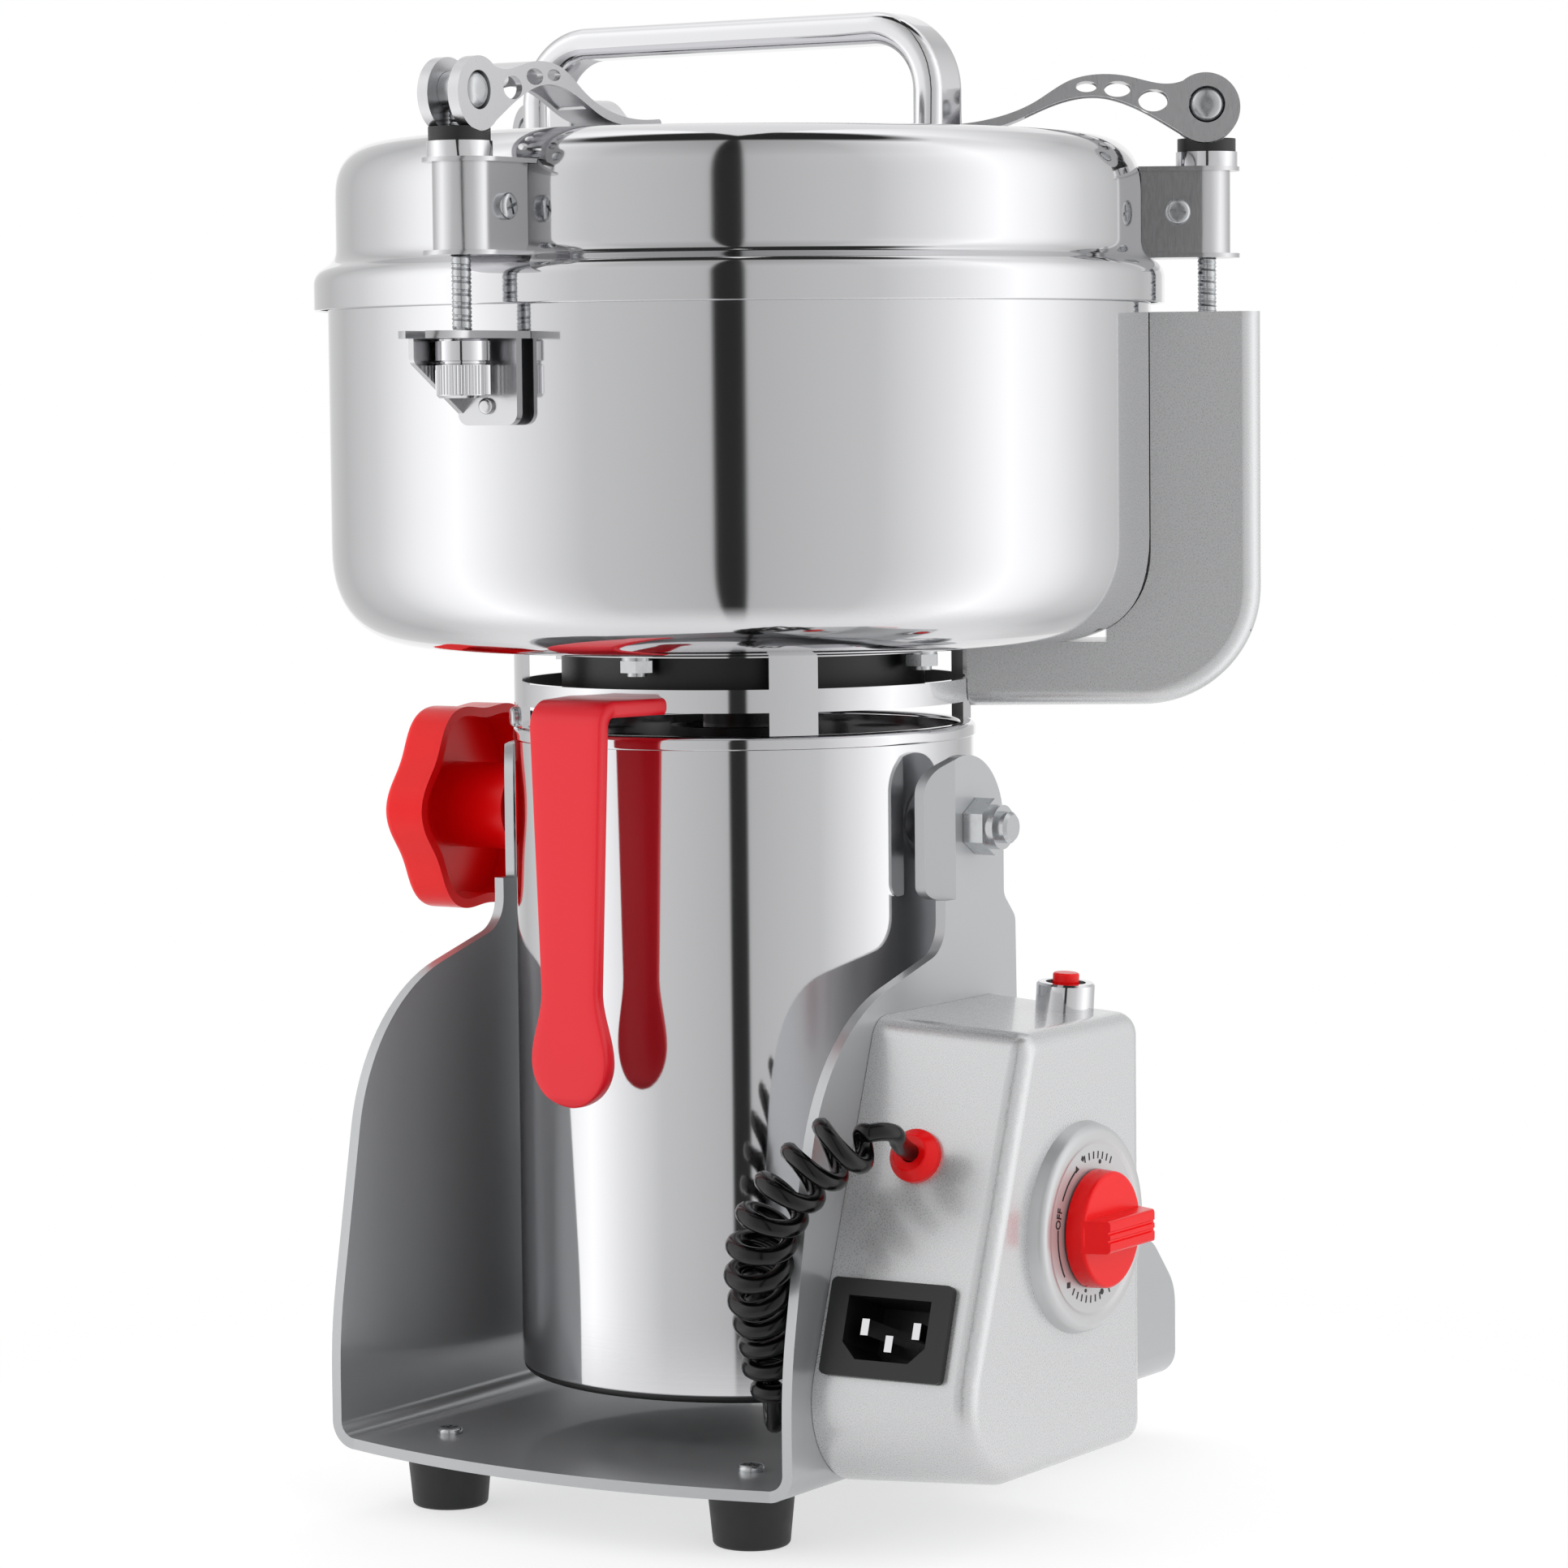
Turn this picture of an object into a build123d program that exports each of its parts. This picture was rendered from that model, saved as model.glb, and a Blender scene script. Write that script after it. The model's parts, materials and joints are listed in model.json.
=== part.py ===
"""Electric grain mill, swing type: a polished motor and bowl that tilt between two cheeks.

Millimetres. +Z up, the floor at Z = 0, the mill's axis is the Z axis, -Y is the front.
+X is the side with the control box. Each node is written to parts/NODE.step.
"""
import os
from math import atan, cos, degrees, hypot, radians, sin, sqrt, tan

from build123d import *

# ---------------------------------------------------------------- driving sizes
GAP = 0.1                 # between faces of neighbouring pieces that don't touch
RUN = 0.05                # radial running clearance of a shaft in a hole
FAR = 500.0               # longer than the mill, for cuts that go right through
M3_R = 1.6                # shank of the small screws and rivets

# motor housing
HOUSING_R = 59.4
HOUSING_WALL = 1.2
HOUSING_BOTTOM = 31.5
HOUSING_TOP = 193.5
RIM_H = 3.5
RIM_PROUD = 0.6
RIM_LIP = 2.4             # how far the rim reaches in past the wall
CAP_BOTTOM = 29.8
CAP_EDGE_R = 1.4
CAP_WALL = 2.4
CAP_PLUG = 5.0            # how far the cap reaches up inside the housing
CAP_INSET = 0.3           # how far the cap stands in from the housing's wall
CAP_SLOT_RINGS = (18.0, 28.0, 38.0)
BOSS_R = 9.5
BOSS_PLAY = 0.3           # between a boss and its cheek
PIVOT_R = 4.0             # M8 bolt and stud
PIVOT_Z = 172.5

# stand: one bent sheet
SHEET = 2.8
SWING_ROOM = 7.4          # between the housing and a cheek
PLATE_UNDER = 15.3        # underside of the floor plate, the height of the feet
PLATE_FRONT = -88.0
PLATE_REAR = 103.5
PLATE_BOW = 9.0           # how far the plate's front edge bows forward
BEND_R = 7.0              # outer radius of the bends between plate and cheeks
HEAD_R = 18.2             # round head of a cheek
HEAD_SHIFT = -4.4         # the head's centre, forward of the pivot
LIP_START = -9.8          # where the head's front lip starts to bend inwards
LIP_BEND = 35.0           # degrees
LIP_LONG = 8.5
LIP_LOW = 154.8
LIP_HIGH = 186.0
NECK_TOP = 153.0
NECK_FRONT = -15.0
NECK_REAR = 19.5
SHOULDER_Z = 142.8
SHOULDER_FALL = 15.6     # how far the shoulder falls towards its front corner
SHOULDER_FRONT = -72.5   # the shoulder's front corner
FRONT_BEND_Z = 45.8      # where a cheek's front edge starts to lean back

# feet
FOOT_R = 11.0
FOOT_INSET = 23.6         # from a cheek's outside to the middle of a foot
FOOT_FRONT = -70.0
FOOT_REAR = 80.0
FOOT_SCREW_R = 2.5
FOOT_PAD_R = 6.0

# neck between housing and bowl
NECK_WALL = 2.0
NECK_H = 21.0
BAND_LOW = 5.8            # the band's lower edge, above the housing's rim
BAND_H = 5.8
POST_ANGLE = 12.0         # degrees of the circle that each post takes
POST_AT = 45.5
FLANGE_REACH = 11.8       # how far the flange under the bowl reaches in
FLANGE_T = 1.5
WINDOW_DEEP = 9.4         # how far in the cuts of the windows reach
BOWL_BOLT_R = 2.5
BOWL_BOLT_INSET = 6.9     # the bolts' circle, inside the housing's radius
BOWL_BOLT_TURN = 3.0      # degrees from the front to the first bolt

# bowl
BOWL_R = 105.7
BOWL_WALL = 1.2
BOWL_CORNER = 22.0
BOWL_H = 91.7
BOWL_LIP = 2.2
BOWL_PLAY = 0.15          # between the bowl and what is shaped round it
SEAL_R = 18.0

# lid
LID_STEP = 5.8            # how far the lid's wall stands inside its skirt
LID_WALL = 1.1
LID_CORNER = 12.0
LID_H = 42.6              # from the skirt's lower edge to the top
SKIRT_PLAY = 0.2          # between the bowl's lip and the skirt
SKIRT_H = 8.8
SKIRT_OVERLAP = 5.9       # how far the skirt hangs below the bowl's top
HANDLE_REACH = 60.0       # half the distance between the handle's legs
HANDLE_RISE = 30.6
HANDLE_WIDE = 15.0
HANDLE_THICK = 8.0
HANDLE_BEND = 20.0
HANDLE_EDGE = 3.4
HANDLE_SCREW_R = 2.5

# clamps, at three places round the lid
CLAMP_ANGLES = {"front": 0.0, "right": 120.0, "left": 240.0}
CLAMP_OUT = 14.3          # from the bowl's wall to a clamp's bolt
BOLT_R = 2.5
BOLT_PLAY = 0.3           # round the bolt, in the pieces that it passes
BRACKET_HALF = 7.6
BRACKET_NOSE = 1.6        # the round nose's centre, inside the bolt
BRACKET_SHEET = 1.5
BRACKET_H = 20.9
BRACKET_LOW = 98.3        # lower edge of the bracket above the bowl's floor
BRACKET_SCREW_IN = 7.6    # the flank screws, inside the bolt
CLAMP_PLATE = 1.1
PLATE_PROUD = 2.4         # how far the bracket's plates stand proud of its sheet
COLLAR_R = 7.9
COLLAR_H = 3.8
SADDLE_R = 7.45
SADDLE_H = 3.4
CAM_R = 8.85
CAM_PIN_R = 4.6
CAM_OFFSET = (0.4, 0.8)   # from the cam's centre out and up to its pin
CAM_SEAT = 2.2            # least thickness of the saddle under the cam
LEVER_HALF = 6.0
LEVER_SHEET = 1.7
NUT_R = 6.6
NUT_H = 14.0
NUT_COLLAR = 5.6          # smooth part of the nut, above its knurl
KNURLS = 24
KNURL_R = 0.45
BOLT_BELOW = 13.0         # how far the bolt reaches below the lower plate's top
LOWER_PLATE = 1.8
LOWER_PLATE_TOP = 79.2    # above the bowl's floor
LOWER_HALF = 9.5
LOWER_REACH = 19.0        # how far the slotted plate reaches past the bolt
LOWER_BACK = 4.6          # from the bowl to the outside of the bracket's back
LOWER_BACK_HALF = 8.75
LOWER_SHEET = 2.2
LOWER_PAD = 5.0           # half the width of the pad between the back and the bowl
LOWER_WING = 1.5
LOWER_WING_OUT = 9.7      # how far the wing reaches past the bolt
LOWER_WING_H = 5.5
LOWER_H = 22.5
RIVET_UP = 4.6            # above the back's lower edge
RIVET_R = 1.4
RIVET_HEAD_R = 2.0

# arm that carries the lid switch
ARM_HALF = 13.0
ARM_PAST = 13.2           # how far the arm reaches past the clamp's bolt
ARM_CORNER = 30.0
ARM_TOP = 83.4            # above the bowl's floor, with its cap
ARM_CAP = 1.4
ARM_FOOT = 16.6           # the arm's lower edge, below the bowl's floor
ARM_WALL = 2.6
ARM_EDGE = 5.0
ARM_SEAT = 12.0           # how far the arm's top reaches in from the bowl's radius
ARM_FLOOR = 2.0           # floor of the arm's pocket above the bowl's floor

# red handle under the neck
GRIP_STAND = 21.1         # from the housing to the handle's face
GRIP_THICK = 4.0
GRIP_TOP = 206.7
GRIP_TOP_HALF = 11.3
GRIP_ROOT_HALF = 16.0
GRIP_WAIST_HALF = 9.7
GRIP_WAIST_Z = 130.0
GRIP_END_R = 11.0
GRIP_END_Z = 116.8
GRIP_EDGE = 1.2
GRIP_FOLD = 3.0

# control box
BOX_DEPTH = 42.4
BOX_REAR = 12.0
BOX_TOP = 129.3
BOX_BOTTOM = 16.5
BOX_LEAN = 19.4           # degrees that the front leans back
BOX_FRONT_AT_FLOOR = -94.0
BOX_DRAFT = 2.4           # how much smaller the outer face is, all round
BOX_WALL = 2.5
BOX_EDGE = 5.0
BOX_TOE = 22.0            # radius of the corner at the front's foot
BOX_BROW = 7.0
BOX_HEEL = 6.0
BOX_SCREW_R = 2.0
BOX_POST_R = 4.4
BOX_SCREW_IN = 12.0       # how far the box's screws reach into its posts
DIAL_Y, DIAL_Z, DIAL_R, DIAL_T = -22.0, 77.0, 24.6, 4.0
KNOB_R, KNOB_T = 14.6, 4.8
KNOB_BAR_W, KNOB_BAR_T = 8.0, 5.6
KNOB_BAR_TAPER = 3.0      # how much shorter each end of the grip bar is on top
TIMER_R, TIMER_DEEP = 20.0, 21.0
TIMER_NECK_R = 5.0
TIMER_SHAFT_R = 3.0
BUTTON_OUT, BUTTON_Y = 26.4, -1.5
BUTTON_NUT_R, BUTTON_NUT_H = 7.3, 6.8
BUTTON_R, BUTTON_PROUD = 3.3, 2.4
OVERLOAD_R, OVERLOAD_DEEP = 6.4, 22.0
OVERLOAD_NECK_R = 5.0
INLET_OUT, INLET_Z, INLET_W, INLET_H = 18.4, 57.0, 33.0, 23.8
INLET_BODY_W, INLET_BODY_H, INLET_DEEP = 27.0, 19.6, 24.0
SOCKET_W, SOCKET_H, SOCKET_DEEP = 22.4, 15.4, 17.0
BEZEL_T = 2.0
PIN_PITCH, PIN_UP, PIN_DOWN = 14.0, 0.6, -3.0
PIN_W, PIN_H = 2.0, 4.0
GROMMET_OUT, GROMMET_Z, GROMMET_R = 17.8, 97.4, 6.6

# star knob
STAR_R = 29.4
STAR_DIP = 3.2
STAR_LOBES = 6
STAR_T = 13.0
STAR_WALL = 2.6
STAR_EDGE = 2.5
STAR_HUB_R = 11.5
STAR_STANDOFF = 13.0      # from the cheek to the knob's open edge

# motor
SHAFT_R = 6.0
STATOR_IN = 27.8
STATOR_WALL = 8.0
STATOR_LOW, STATOR_HIGH = 78.0, 138.0
AIR_GAP = 0.8
COIL_INSET = 10.2         # from the housing's inside to the windings
COIL_ROOM = 3.2           # from the stator's bore to the windings
COMM_LOW, COMM_HIGH = 146.0, 162.0
COMM_R = 17.0
BEARING_LOW, BEARING_HIGH = 52.0, 185.5
BEARING_R, BEARING_H = 15.0, 9.0
BEARING_PLATE = 4.0
BEARING_SEAT = 2.0        # thickness of the plate under a bearing
SHAFT_ROOM = 1.5          # round the shaft in the plates and the disc
PLATE_HOLE_R = 9.0
PLATE_HOLE_INSET = 22.4   # the air holes' circle, inside the housing's radius
NOTCH_INSET = 4.4         # the cable notch, inside the housing's radius
HUB_R = 10.5

# blades
BLADE_LIFT = 10.0         # from the bowl's underside to the lower blade
BLADE_T = 3.0
BLADE_GAP = 6.0
BLADE_LONG = 82.0
BLADE_HALF = 12.0
THREAD_R = 4.0
SPACER_WALL = 5.0

# curly cord
CORD_R = 2.25
COIL_R = 8.75
HOUSING_CORD_TURN = 37.0  # degrees from the front to where the cord goes in
HOUSING_CORD_Z = 50.0
BUSH_R = 6.0
BUSH_NECK_R = 4.6

# ---------------------------------------------------------------- derived places
HOUSING_IN = HOUSING_R - HOUSING_WALL
CHEEK_IN = HOUSING_R + SWING_ROOM
CHEEK_OUT = CHEEK_IN + SHEET
FOOT_X = CHEEK_OUT - FOOT_INSET
PLATE_TOP = PLATE_UNDER + SHEET
HEAD_REAR = HEAD_SHIFT + HEAD_R
RIM_TOP = HOUSING_TOP + RIM_H
FLOOR_Z = RIM_TOP + NECK_H                  # underside of the bowl
BAND_Z = RIM_TOP + BAND_LOW
FLANGE_R = HOUSING_R - FLANGE_REACH
BOWL_BOLT_CIRCLE = HOUSING_R - BOWL_BOLT_INSET
BOWL_TOP = FLOOR_Z + BOWL_H
SKIRT_R = BOWL_R + BOWL_LIP + SKIRT_PLAY + LID_WALL
LID_R = SKIRT_R - LID_STEP
LID_LOW = BOWL_TOP - SKIRT_OVERLAP
LID_TOP = LID_LOW + LID_H
CLAMP_R = BOWL_R + CLAMP_OUT
BRACKET_Z = FLOOR_Z + BRACKET_LOW
BRACKET_SCREW_U = CLAMP_R - BRACKET_SCREW_IN
COLLAR_Z = BRACKET_Z + BRACKET_H + CLAMP_PLATE
SADDLE_Z = COLLAR_Z + COLLAR_H
CAM_Z = SADDLE_Z + CAM_SEAT + GAP + CAM_R
CAM_U = CLAMP_R - CAM_OFFSET[0]
PIN_Z = CAM_Z + CAM_OFFSET[1]
PIN_HALF = LEVER_HALF + 0.5
LOWER_Z = FLOOR_Z + LOWER_PLATE_TOP
NUT_TOP = LOWER_Z - LOWER_PLATE - GAP
BOLT_END = LOWER_Z - BOLT_BELOW
ARM_OUT = CLAMP_R + ARM_PAST
GRIP_OUT = HOUSING_R + GRIP_STAND
BOX_OUT = CHEEK_OUT + BOX_DEPTH
BUTTON_X = CHEEK_OUT + BUTTON_OUT
INLET_X = CHEEK_OUT + INLET_OUT
GROMMET_X = CHEEK_OUT + GROMMET_OUT
STAR_OUT = CHEEK_OUT + STAR_STANDOFF + STAR_T
BLADE_Z = FLOOR_Z + BLADE_LIFT
BLADE_TOP = BLADE_Z + 2 * BLADE_T + BLADE_GAP

# a lever's edges and holes, each given inward and up from the cam's centre
LEVER_UPPER = [
    (3.0, 8.2), (11.6, 6.2), (19.7, 8.1), (27.0, 8.7), (34.5, 7.2), (43.0, 2.1), (52.0, -1.6),
    (62.0, -3.4), (75.0, -3.2),
]
LEVER_LOWER = [
    (75.0, -5.2), (62.0, -5.4), (50.0, -3.4), (42.5, -0.2), (34.5, 2.6), (27.0, 3.2), (20.0, 1.4),
    (13.5, -1.8), (6.0, -6.4),
]
LEVER_TAIL = (76.0, -4.2)
LEVER_PAN = 46.0          # how far the hollow of a lever reaches
LEVER_HOLES = [(13.2, 1.9, 3.8, 2.8), (22.3, 4.9, 3.4, 2.0), (30.2, 5.6, 2.7, 1.4)]


# ---------------------------------------------------------------- small helpers
def rod(radius, low, high, x=0.0, y=0.0):
    """An upright cylinder between two heights."""
    body = Cylinder(radius, high - low, align=(Align.CENTER, Align.CENTER, Align.MIN))
    return Pos(x, y, low) * body


def tube(outer, inner, low, high, x=0.0, y=0.0):
    """An upright ring between two heights."""
    return rod(outer, low, high, x, y) - rod(inner, low - 1, high + 1, x, y)


def rod_x(radius, low, high, y=0.0, z=0.0):
    """A cylinder along X."""
    body = Cylinder(radius, high - low, align=(Align.CENTER, Align.CENTER, Align.MIN))
    return Pos(low, y, z) * Rot(0, 90, 0) * body


def tube_x(outer, inner, low, high, y=0.0, z=0.0):
    """A ring along X."""
    return rod_x(outer, low, high, y, z) - rod_x(inner, low - 1, high + 1, y, z)


def block(x, y, z):
    """A box from three (low, high) pairs."""
    body = Box(x[1] - x[0], y[1] - y[0], z[1] - z[0], align=(Align.MIN,) * 3)
    return Pos(x[0], y[0], z[0]) * body


def rounded(points):
    """A face from corners (a, b) or (a, b, radius), in the XY plane."""
    corners = [(p[0], p[1]) for p in points]
    face = make_face(Polyline(*corners, close=True))
    for p in points:
        if len(p) == 3:
            vertex = min(
                face.vertices(), key=lambda v: hypot(v.X - p[0], v.Y - p[1])
            )
            face = fillet(vertex, p[2])
    return face


def prism_x(points, low, high):
    """A (Y, Z) outline carried along X."""
    plane = Plane(origin=(low, 0, 0), x_dir=(0, 1, 0), z_dir=(1, 0, 0))
    return extrude(plane * rounded(points), high - low)


def prism_z(points, low, high):
    """An (X, Y) outline carried up."""
    return extrude(Plane.XY.offset(low) * rounded(points), high - low)


def turned(points):
    """An (R, Z) outline turned about Z."""
    return revolve(Plane.XZ * rounded(points), Axis.Z)


def at_angle(solid, angle):
    """A solid built for the front, turned about Z towards +X."""
    return Rot(0, 0, angle) * solid


def prism_v(points, half):
    """A (U, Z) outline in the front clamp's plane, as wide as 2 half."""
    flipped = [(-p[0], *p[1:]) for p in points]
    plane = Plane(origin=(-half, 0, 0), x_dir=(0, 1, 0), z_dir=(1, 0, 0))
    return extrude(plane * rounded(flipped), 2 * half)


def group(solids):
    """Several separate solids as one node."""
    return Compound(children=[s for item in solids for s in item.solids()])


# ---------------------------------------------------------------- stand
def cheek_outline():
    """The (Y, Z) outline of a cheek below its head."""
    return [
        (PLATE_FRONT, PLATE_UNDER),
        (PLATE_FRONT, FRONT_BEND_Z, 120),
        (SHOULDER_FRONT, SHOULDER_Z - SHOULDER_FALL, 50),
        (NECK_FRONT, SHOULDER_Z, 9),
        (NECK_FRONT, PIVOT_Z),
        (HEAD_REAR, PIVOT_Z),
        (HEAD_REAR, NECK_TOP + 1, 4),
        (NECK_REAR, NECK_TOP - 5, 4),
        (NECK_REAR + 1.5, 74, 24),
        (91.0, 54, 13),
        (PLATE_REAR, 40, 13),
        (PLATE_REAR, PLATE_UNDER),
    ]


def base_frame():
    """Floor plate and both cheeks, bent from one sheet."""
    outer = [
        (-CHEEK_OUT, PLATE_UNDER, BEND_R),
        (CHEEK_OUT, PLATE_UNDER, BEND_R),
        (CHEEK_OUT, PIVOT_Z + 2 * HEAD_R),
        (-CHEEK_OUT, PIVOT_Z + 2 * HEAD_R),
    ]
    inner = [
        (-CHEEK_IN, PLATE_TOP, BEND_R - SHEET),
        (CHEEK_IN, PLATE_TOP, BEND_R - SHEET),
        (CHEEK_IN, PIVOT_Z + 3 * HEAD_R),
        (-CHEEK_IN, PIVOT_Z + 3 * HEAD_R),
    ]
    plane = Plane(origin=(0, PLATE_REAR, 0), x_dir=(1, 0, 0), z_dir=(0, -1, 0))
    length = PLATE_REAR - PLATE_FRONT
    channel = extrude(plane * rounded(outer), length) - extrude(plane * rounded(inner), length)
    side = prism_x(cheek_outline(), -CHEEK_OUT - 1, CHEEK_OUT + 1)
    head = rod_x(HEAD_R, -CHEEK_OUT - 1, CHEEK_OUT + 1, HEAD_SHIFT, PIVOT_Z)
    keep_head = block((-FAR, FAR), (LIP_START, FAR), (NECK_TOP, FAR))
    frame = channel & (side - lip_room() + (head & keep_head))
    for sign in (-1, 1):
        frame += lip(sign)
    bow = Plane.XY.offset(PLATE_UNDER) * make_face(
        ThreePointArc((-CHEEK_OUT + BEND_R, PLATE_FRONT), (0, PLATE_FRONT - PLATE_BOW),
                      (CHEEK_OUT - BEND_R, PLATE_FRONT))
        + Line((CHEEK_OUT - BEND_R, PLATE_FRONT), (-CHEEK_OUT + BEND_R, PLATE_FRONT))
    )
    frame += extrude(bow, SHEET)
    frame -= rod_x(PIVOT_R + RUN, -CHEEK_OUT - 1, CHEEK_OUT + 1, 0, PIVOT_Z)
    for x, y in foot_places():
        frame -= rod(FOOT_SCREW_R + GAP, 0, PLATE_TOP + 1, x, y)
    for y, z in box_screw_places():
        frame -= rod_x(BOX_SCREW_R + GAP, CHEEK_IN - 1, CHEEK_OUT + 1, y, z)
    return frame


def lip_room():
    """The space in front of the head, where the flat cheek gives way to its bent lip."""
    return block((-FAR, FAR), (-FAR, LIP_START), (LIP_LOW, FAR))


def lip(sign):
    """The bent front lip of one cheek's head."""
    reach = 2 * LIP_LONG
    dx, dy = -sin(radians(LIP_BEND)) * reach, -cos(radians(LIP_BEND)) * reach
    sheet = [
        (CHEEK_OUT, LIP_START), (CHEEK_OUT + dx, LIP_START + dy),
        (CHEEK_IN + dx, LIP_START + dy), (CHEEK_IN, LIP_START),
    ]
    bent = prism_z([(sign * x, y) for x, y in sheet], NECK_TOP, LIP_HIGH + HEAD_R)
    front = LIP_START - LIP_LONG * cos(radians(LIP_BEND))
    crown = PIVOT_Z + sqrt(HEAD_R ** 2 - (LIP_START - HEAD_SHIFT) ** 2)
    outline = [
        (front, LIP_LOW, 3.5), (LIP_START, LIP_LOW), (LIP_START, crown), (front, LIP_HIGH, 8.5),
    ]
    return bent & prism_x(outline, -FAR, FAR)


def foot_places():
    """(X, Y) of the four feet."""
    return [(sx * FOOT_X, y) for sx in (-1, 1) for y in (FOOT_FRONT, FOOT_REAR)]


def box_screw_places():
    """(Y, Z) of the four screws that hold the box, near its corners."""
    high, low, rear = BOX_TOP - 16, BOX_BOTTOM + 12, BOX_REAR - 6.5
    return [(box_front_y(high) + 17, high), (rear, high), (box_front_y(low) + 20, low), (rear, low)]


def rubber_feet():
    """Four turned rubber feet, each with a sunk seat for its screw."""
    foot = turned([(0, 0), (FOOT_R - 1.5, 0, 1.2), (FOOT_R, PLATE_UNDER), (0, PLATE_UNDER)])
    foot -= rod(FOOT_SCREW_R + GAP, -1, PLATE_UNDER + 1) + rod(FOOT_PAD_R, -1, 6.5)
    return group([Pos(x, y, 0) * foot for x, y in foot_places()])


def pan_head(radius, height):
    """A screw's domed head, standing on Z = 0."""
    head = Cylinder(radius, height, align=(Align.CENTER, Align.CENTER, Align.MIN))
    top = head.faces().sort_by(Axis.Z)[-1]
    return fillet(top.edges(), 0.6 * height)


def frame_screws():
    """Screws of the feet, with their nuts, and of the control box."""
    nut = extrude(RegularPolygon(4.6, 6), 3.6)
    screws = []
    for x, y in foot_places():
        screw = rod(FOOT_SCREW_R, 2.6, PLATE_TOP + 1) + Pos(0, 0, PLATE_TOP) * pan_head(4.6, 2.8)
        screws.append(Pos(x, y, 0) * (screw + Pos(0, 0, 2.9) * nut))
    for y, z in box_screw_places():
        head = Pos(CHEEK_IN, y, z) * Rot(0, -90, 0) * pan_head(3.6, 2.2)
        screws.append(head + rod_x(BOX_SCREW_R, CHEEK_IN - 1, CHEEK_OUT + BOX_SCREW_IN, y, z))
    return group(screws)


# ---------------------------------------------------------------- control box
def box_front_y(z):
    """Y of the box's front face at its cheek side."""
    return BOX_FRONT_AT_FLOOR + z * tan(radians(BOX_LEAN))


def box_outline(inset):
    """The box's (Y, Z) outline, made smaller by inset all round."""
    shift = inset / cos(radians(BOX_LEAN))
    low, high, rear = BOX_BOTTOM + inset, BOX_TOP - inset, BOX_REAR - inset
    return [
        (box_front_y(low) + shift, low, BOX_TOE),
        (box_front_y(high) + shift, high, BOX_BROW),
        (rear, high, BOX_HEEL),
        (rear, low, BOX_HEEL),
    ]


def yz_face(points, x):
    """A face from (Y, Z) points at one X."""
    plane = Plane(origin=(x, 0, 0), x_dir=(0, 1, 0), z_dir=(1, 0, 0))
    return plane * rounded(points)


def box_body(inset, depth):
    """The drafted block that the casing is made from."""
    low = CHEEK_OUT + GAP
    return loft([
        yz_face(box_outline(inset), low),
        yz_face(box_outline(inset + BOX_DRAFT * depth / BOX_DEPTH), low + depth),
    ])


def front_plane(x, z):
    """A plane on the box's front face: its x runs along +X, its y up the face."""
    turn = BOX_DRAFT / cos(radians(BOX_LEAN)) / BOX_DEPTH
    along = Vector(1, turn, 0).normalized()
    up = Vector(0, sin(radians(BOX_LEAN)), cos(radians(BOX_LEAN)))
    normal = along.cross(up).normalized()
    y = box_front_y(z) + turn * (x - CHEEK_OUT - GAP)
    return Plane(origin=(x, y, z), x_dir=along, z_dir=normal)


def top_plane(x, y):
    """A plane on the box's top face, which the draft tips outwards."""
    tip = BOX_DRAFT / BOX_DEPTH
    z = BOX_TOP - tip * (x - CHEEK_OUT - GAP)
    return Plane(origin=(x, y, z), x_dir=(1, 0, -tip), z_dir=(tip, 0, 1))


def control_box():
    """Moulded casing, open towards the cheek, with its holes and screw posts."""
    shell = box_body(0, BOX_DEPTH - GAP)
    outer = shell.faces().sort_by(Axis.X)[-1]
    shell = fillet(outer.edges(), BOX_EDGE)
    cavity = box_body(BOX_WALL, BOX_DEPTH - BOX_WALL)
    inner = cavity.faces().sort_by(Axis.X)[-1]
    shell -= fillet(inner.edges(), BOX_EDGE - BOX_WALL)
    for y, z in box_screw_places():
        reach = BOX_SCREW_IN + 3 if y > 0 else BOX_DEPTH - 1
        shell += rod_x(BOX_POST_R, CHEEK_OUT + GAP, CHEEK_OUT + reach, y, z)
        shell -= rod_x(BOX_SCREW_R, CHEEK_OUT - 1, CHEEK_OUT + BOX_SCREW_IN, y, z)
    shell -= rod_x(TIMER_NECK_R, BOX_OUT - 2 * BOX_WALL, BOX_OUT + 1, DIAL_Y, DIAL_Z)
    shell -= top_plane(BUTTON_X, BUTTON_Y) * Cylinder(OVERLOAD_NECK_R, 4 * BOX_WALL)
    shell -= inlet_hole()
    place = front_plane(GROMMET_X, GROMMET_Z)
    shell -= place * Cylinder(GROMMET_R - 1.6, 6 * BOX_WALL)
    return shell


def inlet_block(wide, high, low, top, cut):
    """A block across the inlet's plane, its lower corners cut off."""
    face = rounded([
        (-wide / 2 + cut, -high / 2), (wide / 2 - cut, -high / 2),
        (wide / 2, -high / 2 + cut), (wide / 2, high / 2), (-wide / 2, high / 2),
        (-wide / 2, -high / 2 + cut),
    ])
    return front_plane(INLET_X, INLET_Z) * extrude(Plane.XY.offset(low) * face, top - low)


def inlet_hole():
    """The hole that the inlet's body goes through."""
    return inlet_block(INLET_BODY_W, INLET_BODY_H, -INLET_DEEP, 5, 3)


def inlet_body():
    """Mains inlet: a bezel on the box's front and a moulded socket behind it."""
    bezel = extrude(RectangleRounded(INLET_W, INLET_H, 1.6), BEZEL_T)
    body = front_plane(INLET_X, INLET_Z) * bezel
    body += inlet_block(INLET_BODY_W - 2 * GAP, INLET_BODY_H - 2 * GAP, -INLET_DEEP, 1, 3)
    body -= inlet_block(SOCKET_W, SOCKET_H, -SOCKET_DEEP, BEZEL_T + 1, 4)
    return body - inlet_pins()


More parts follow.
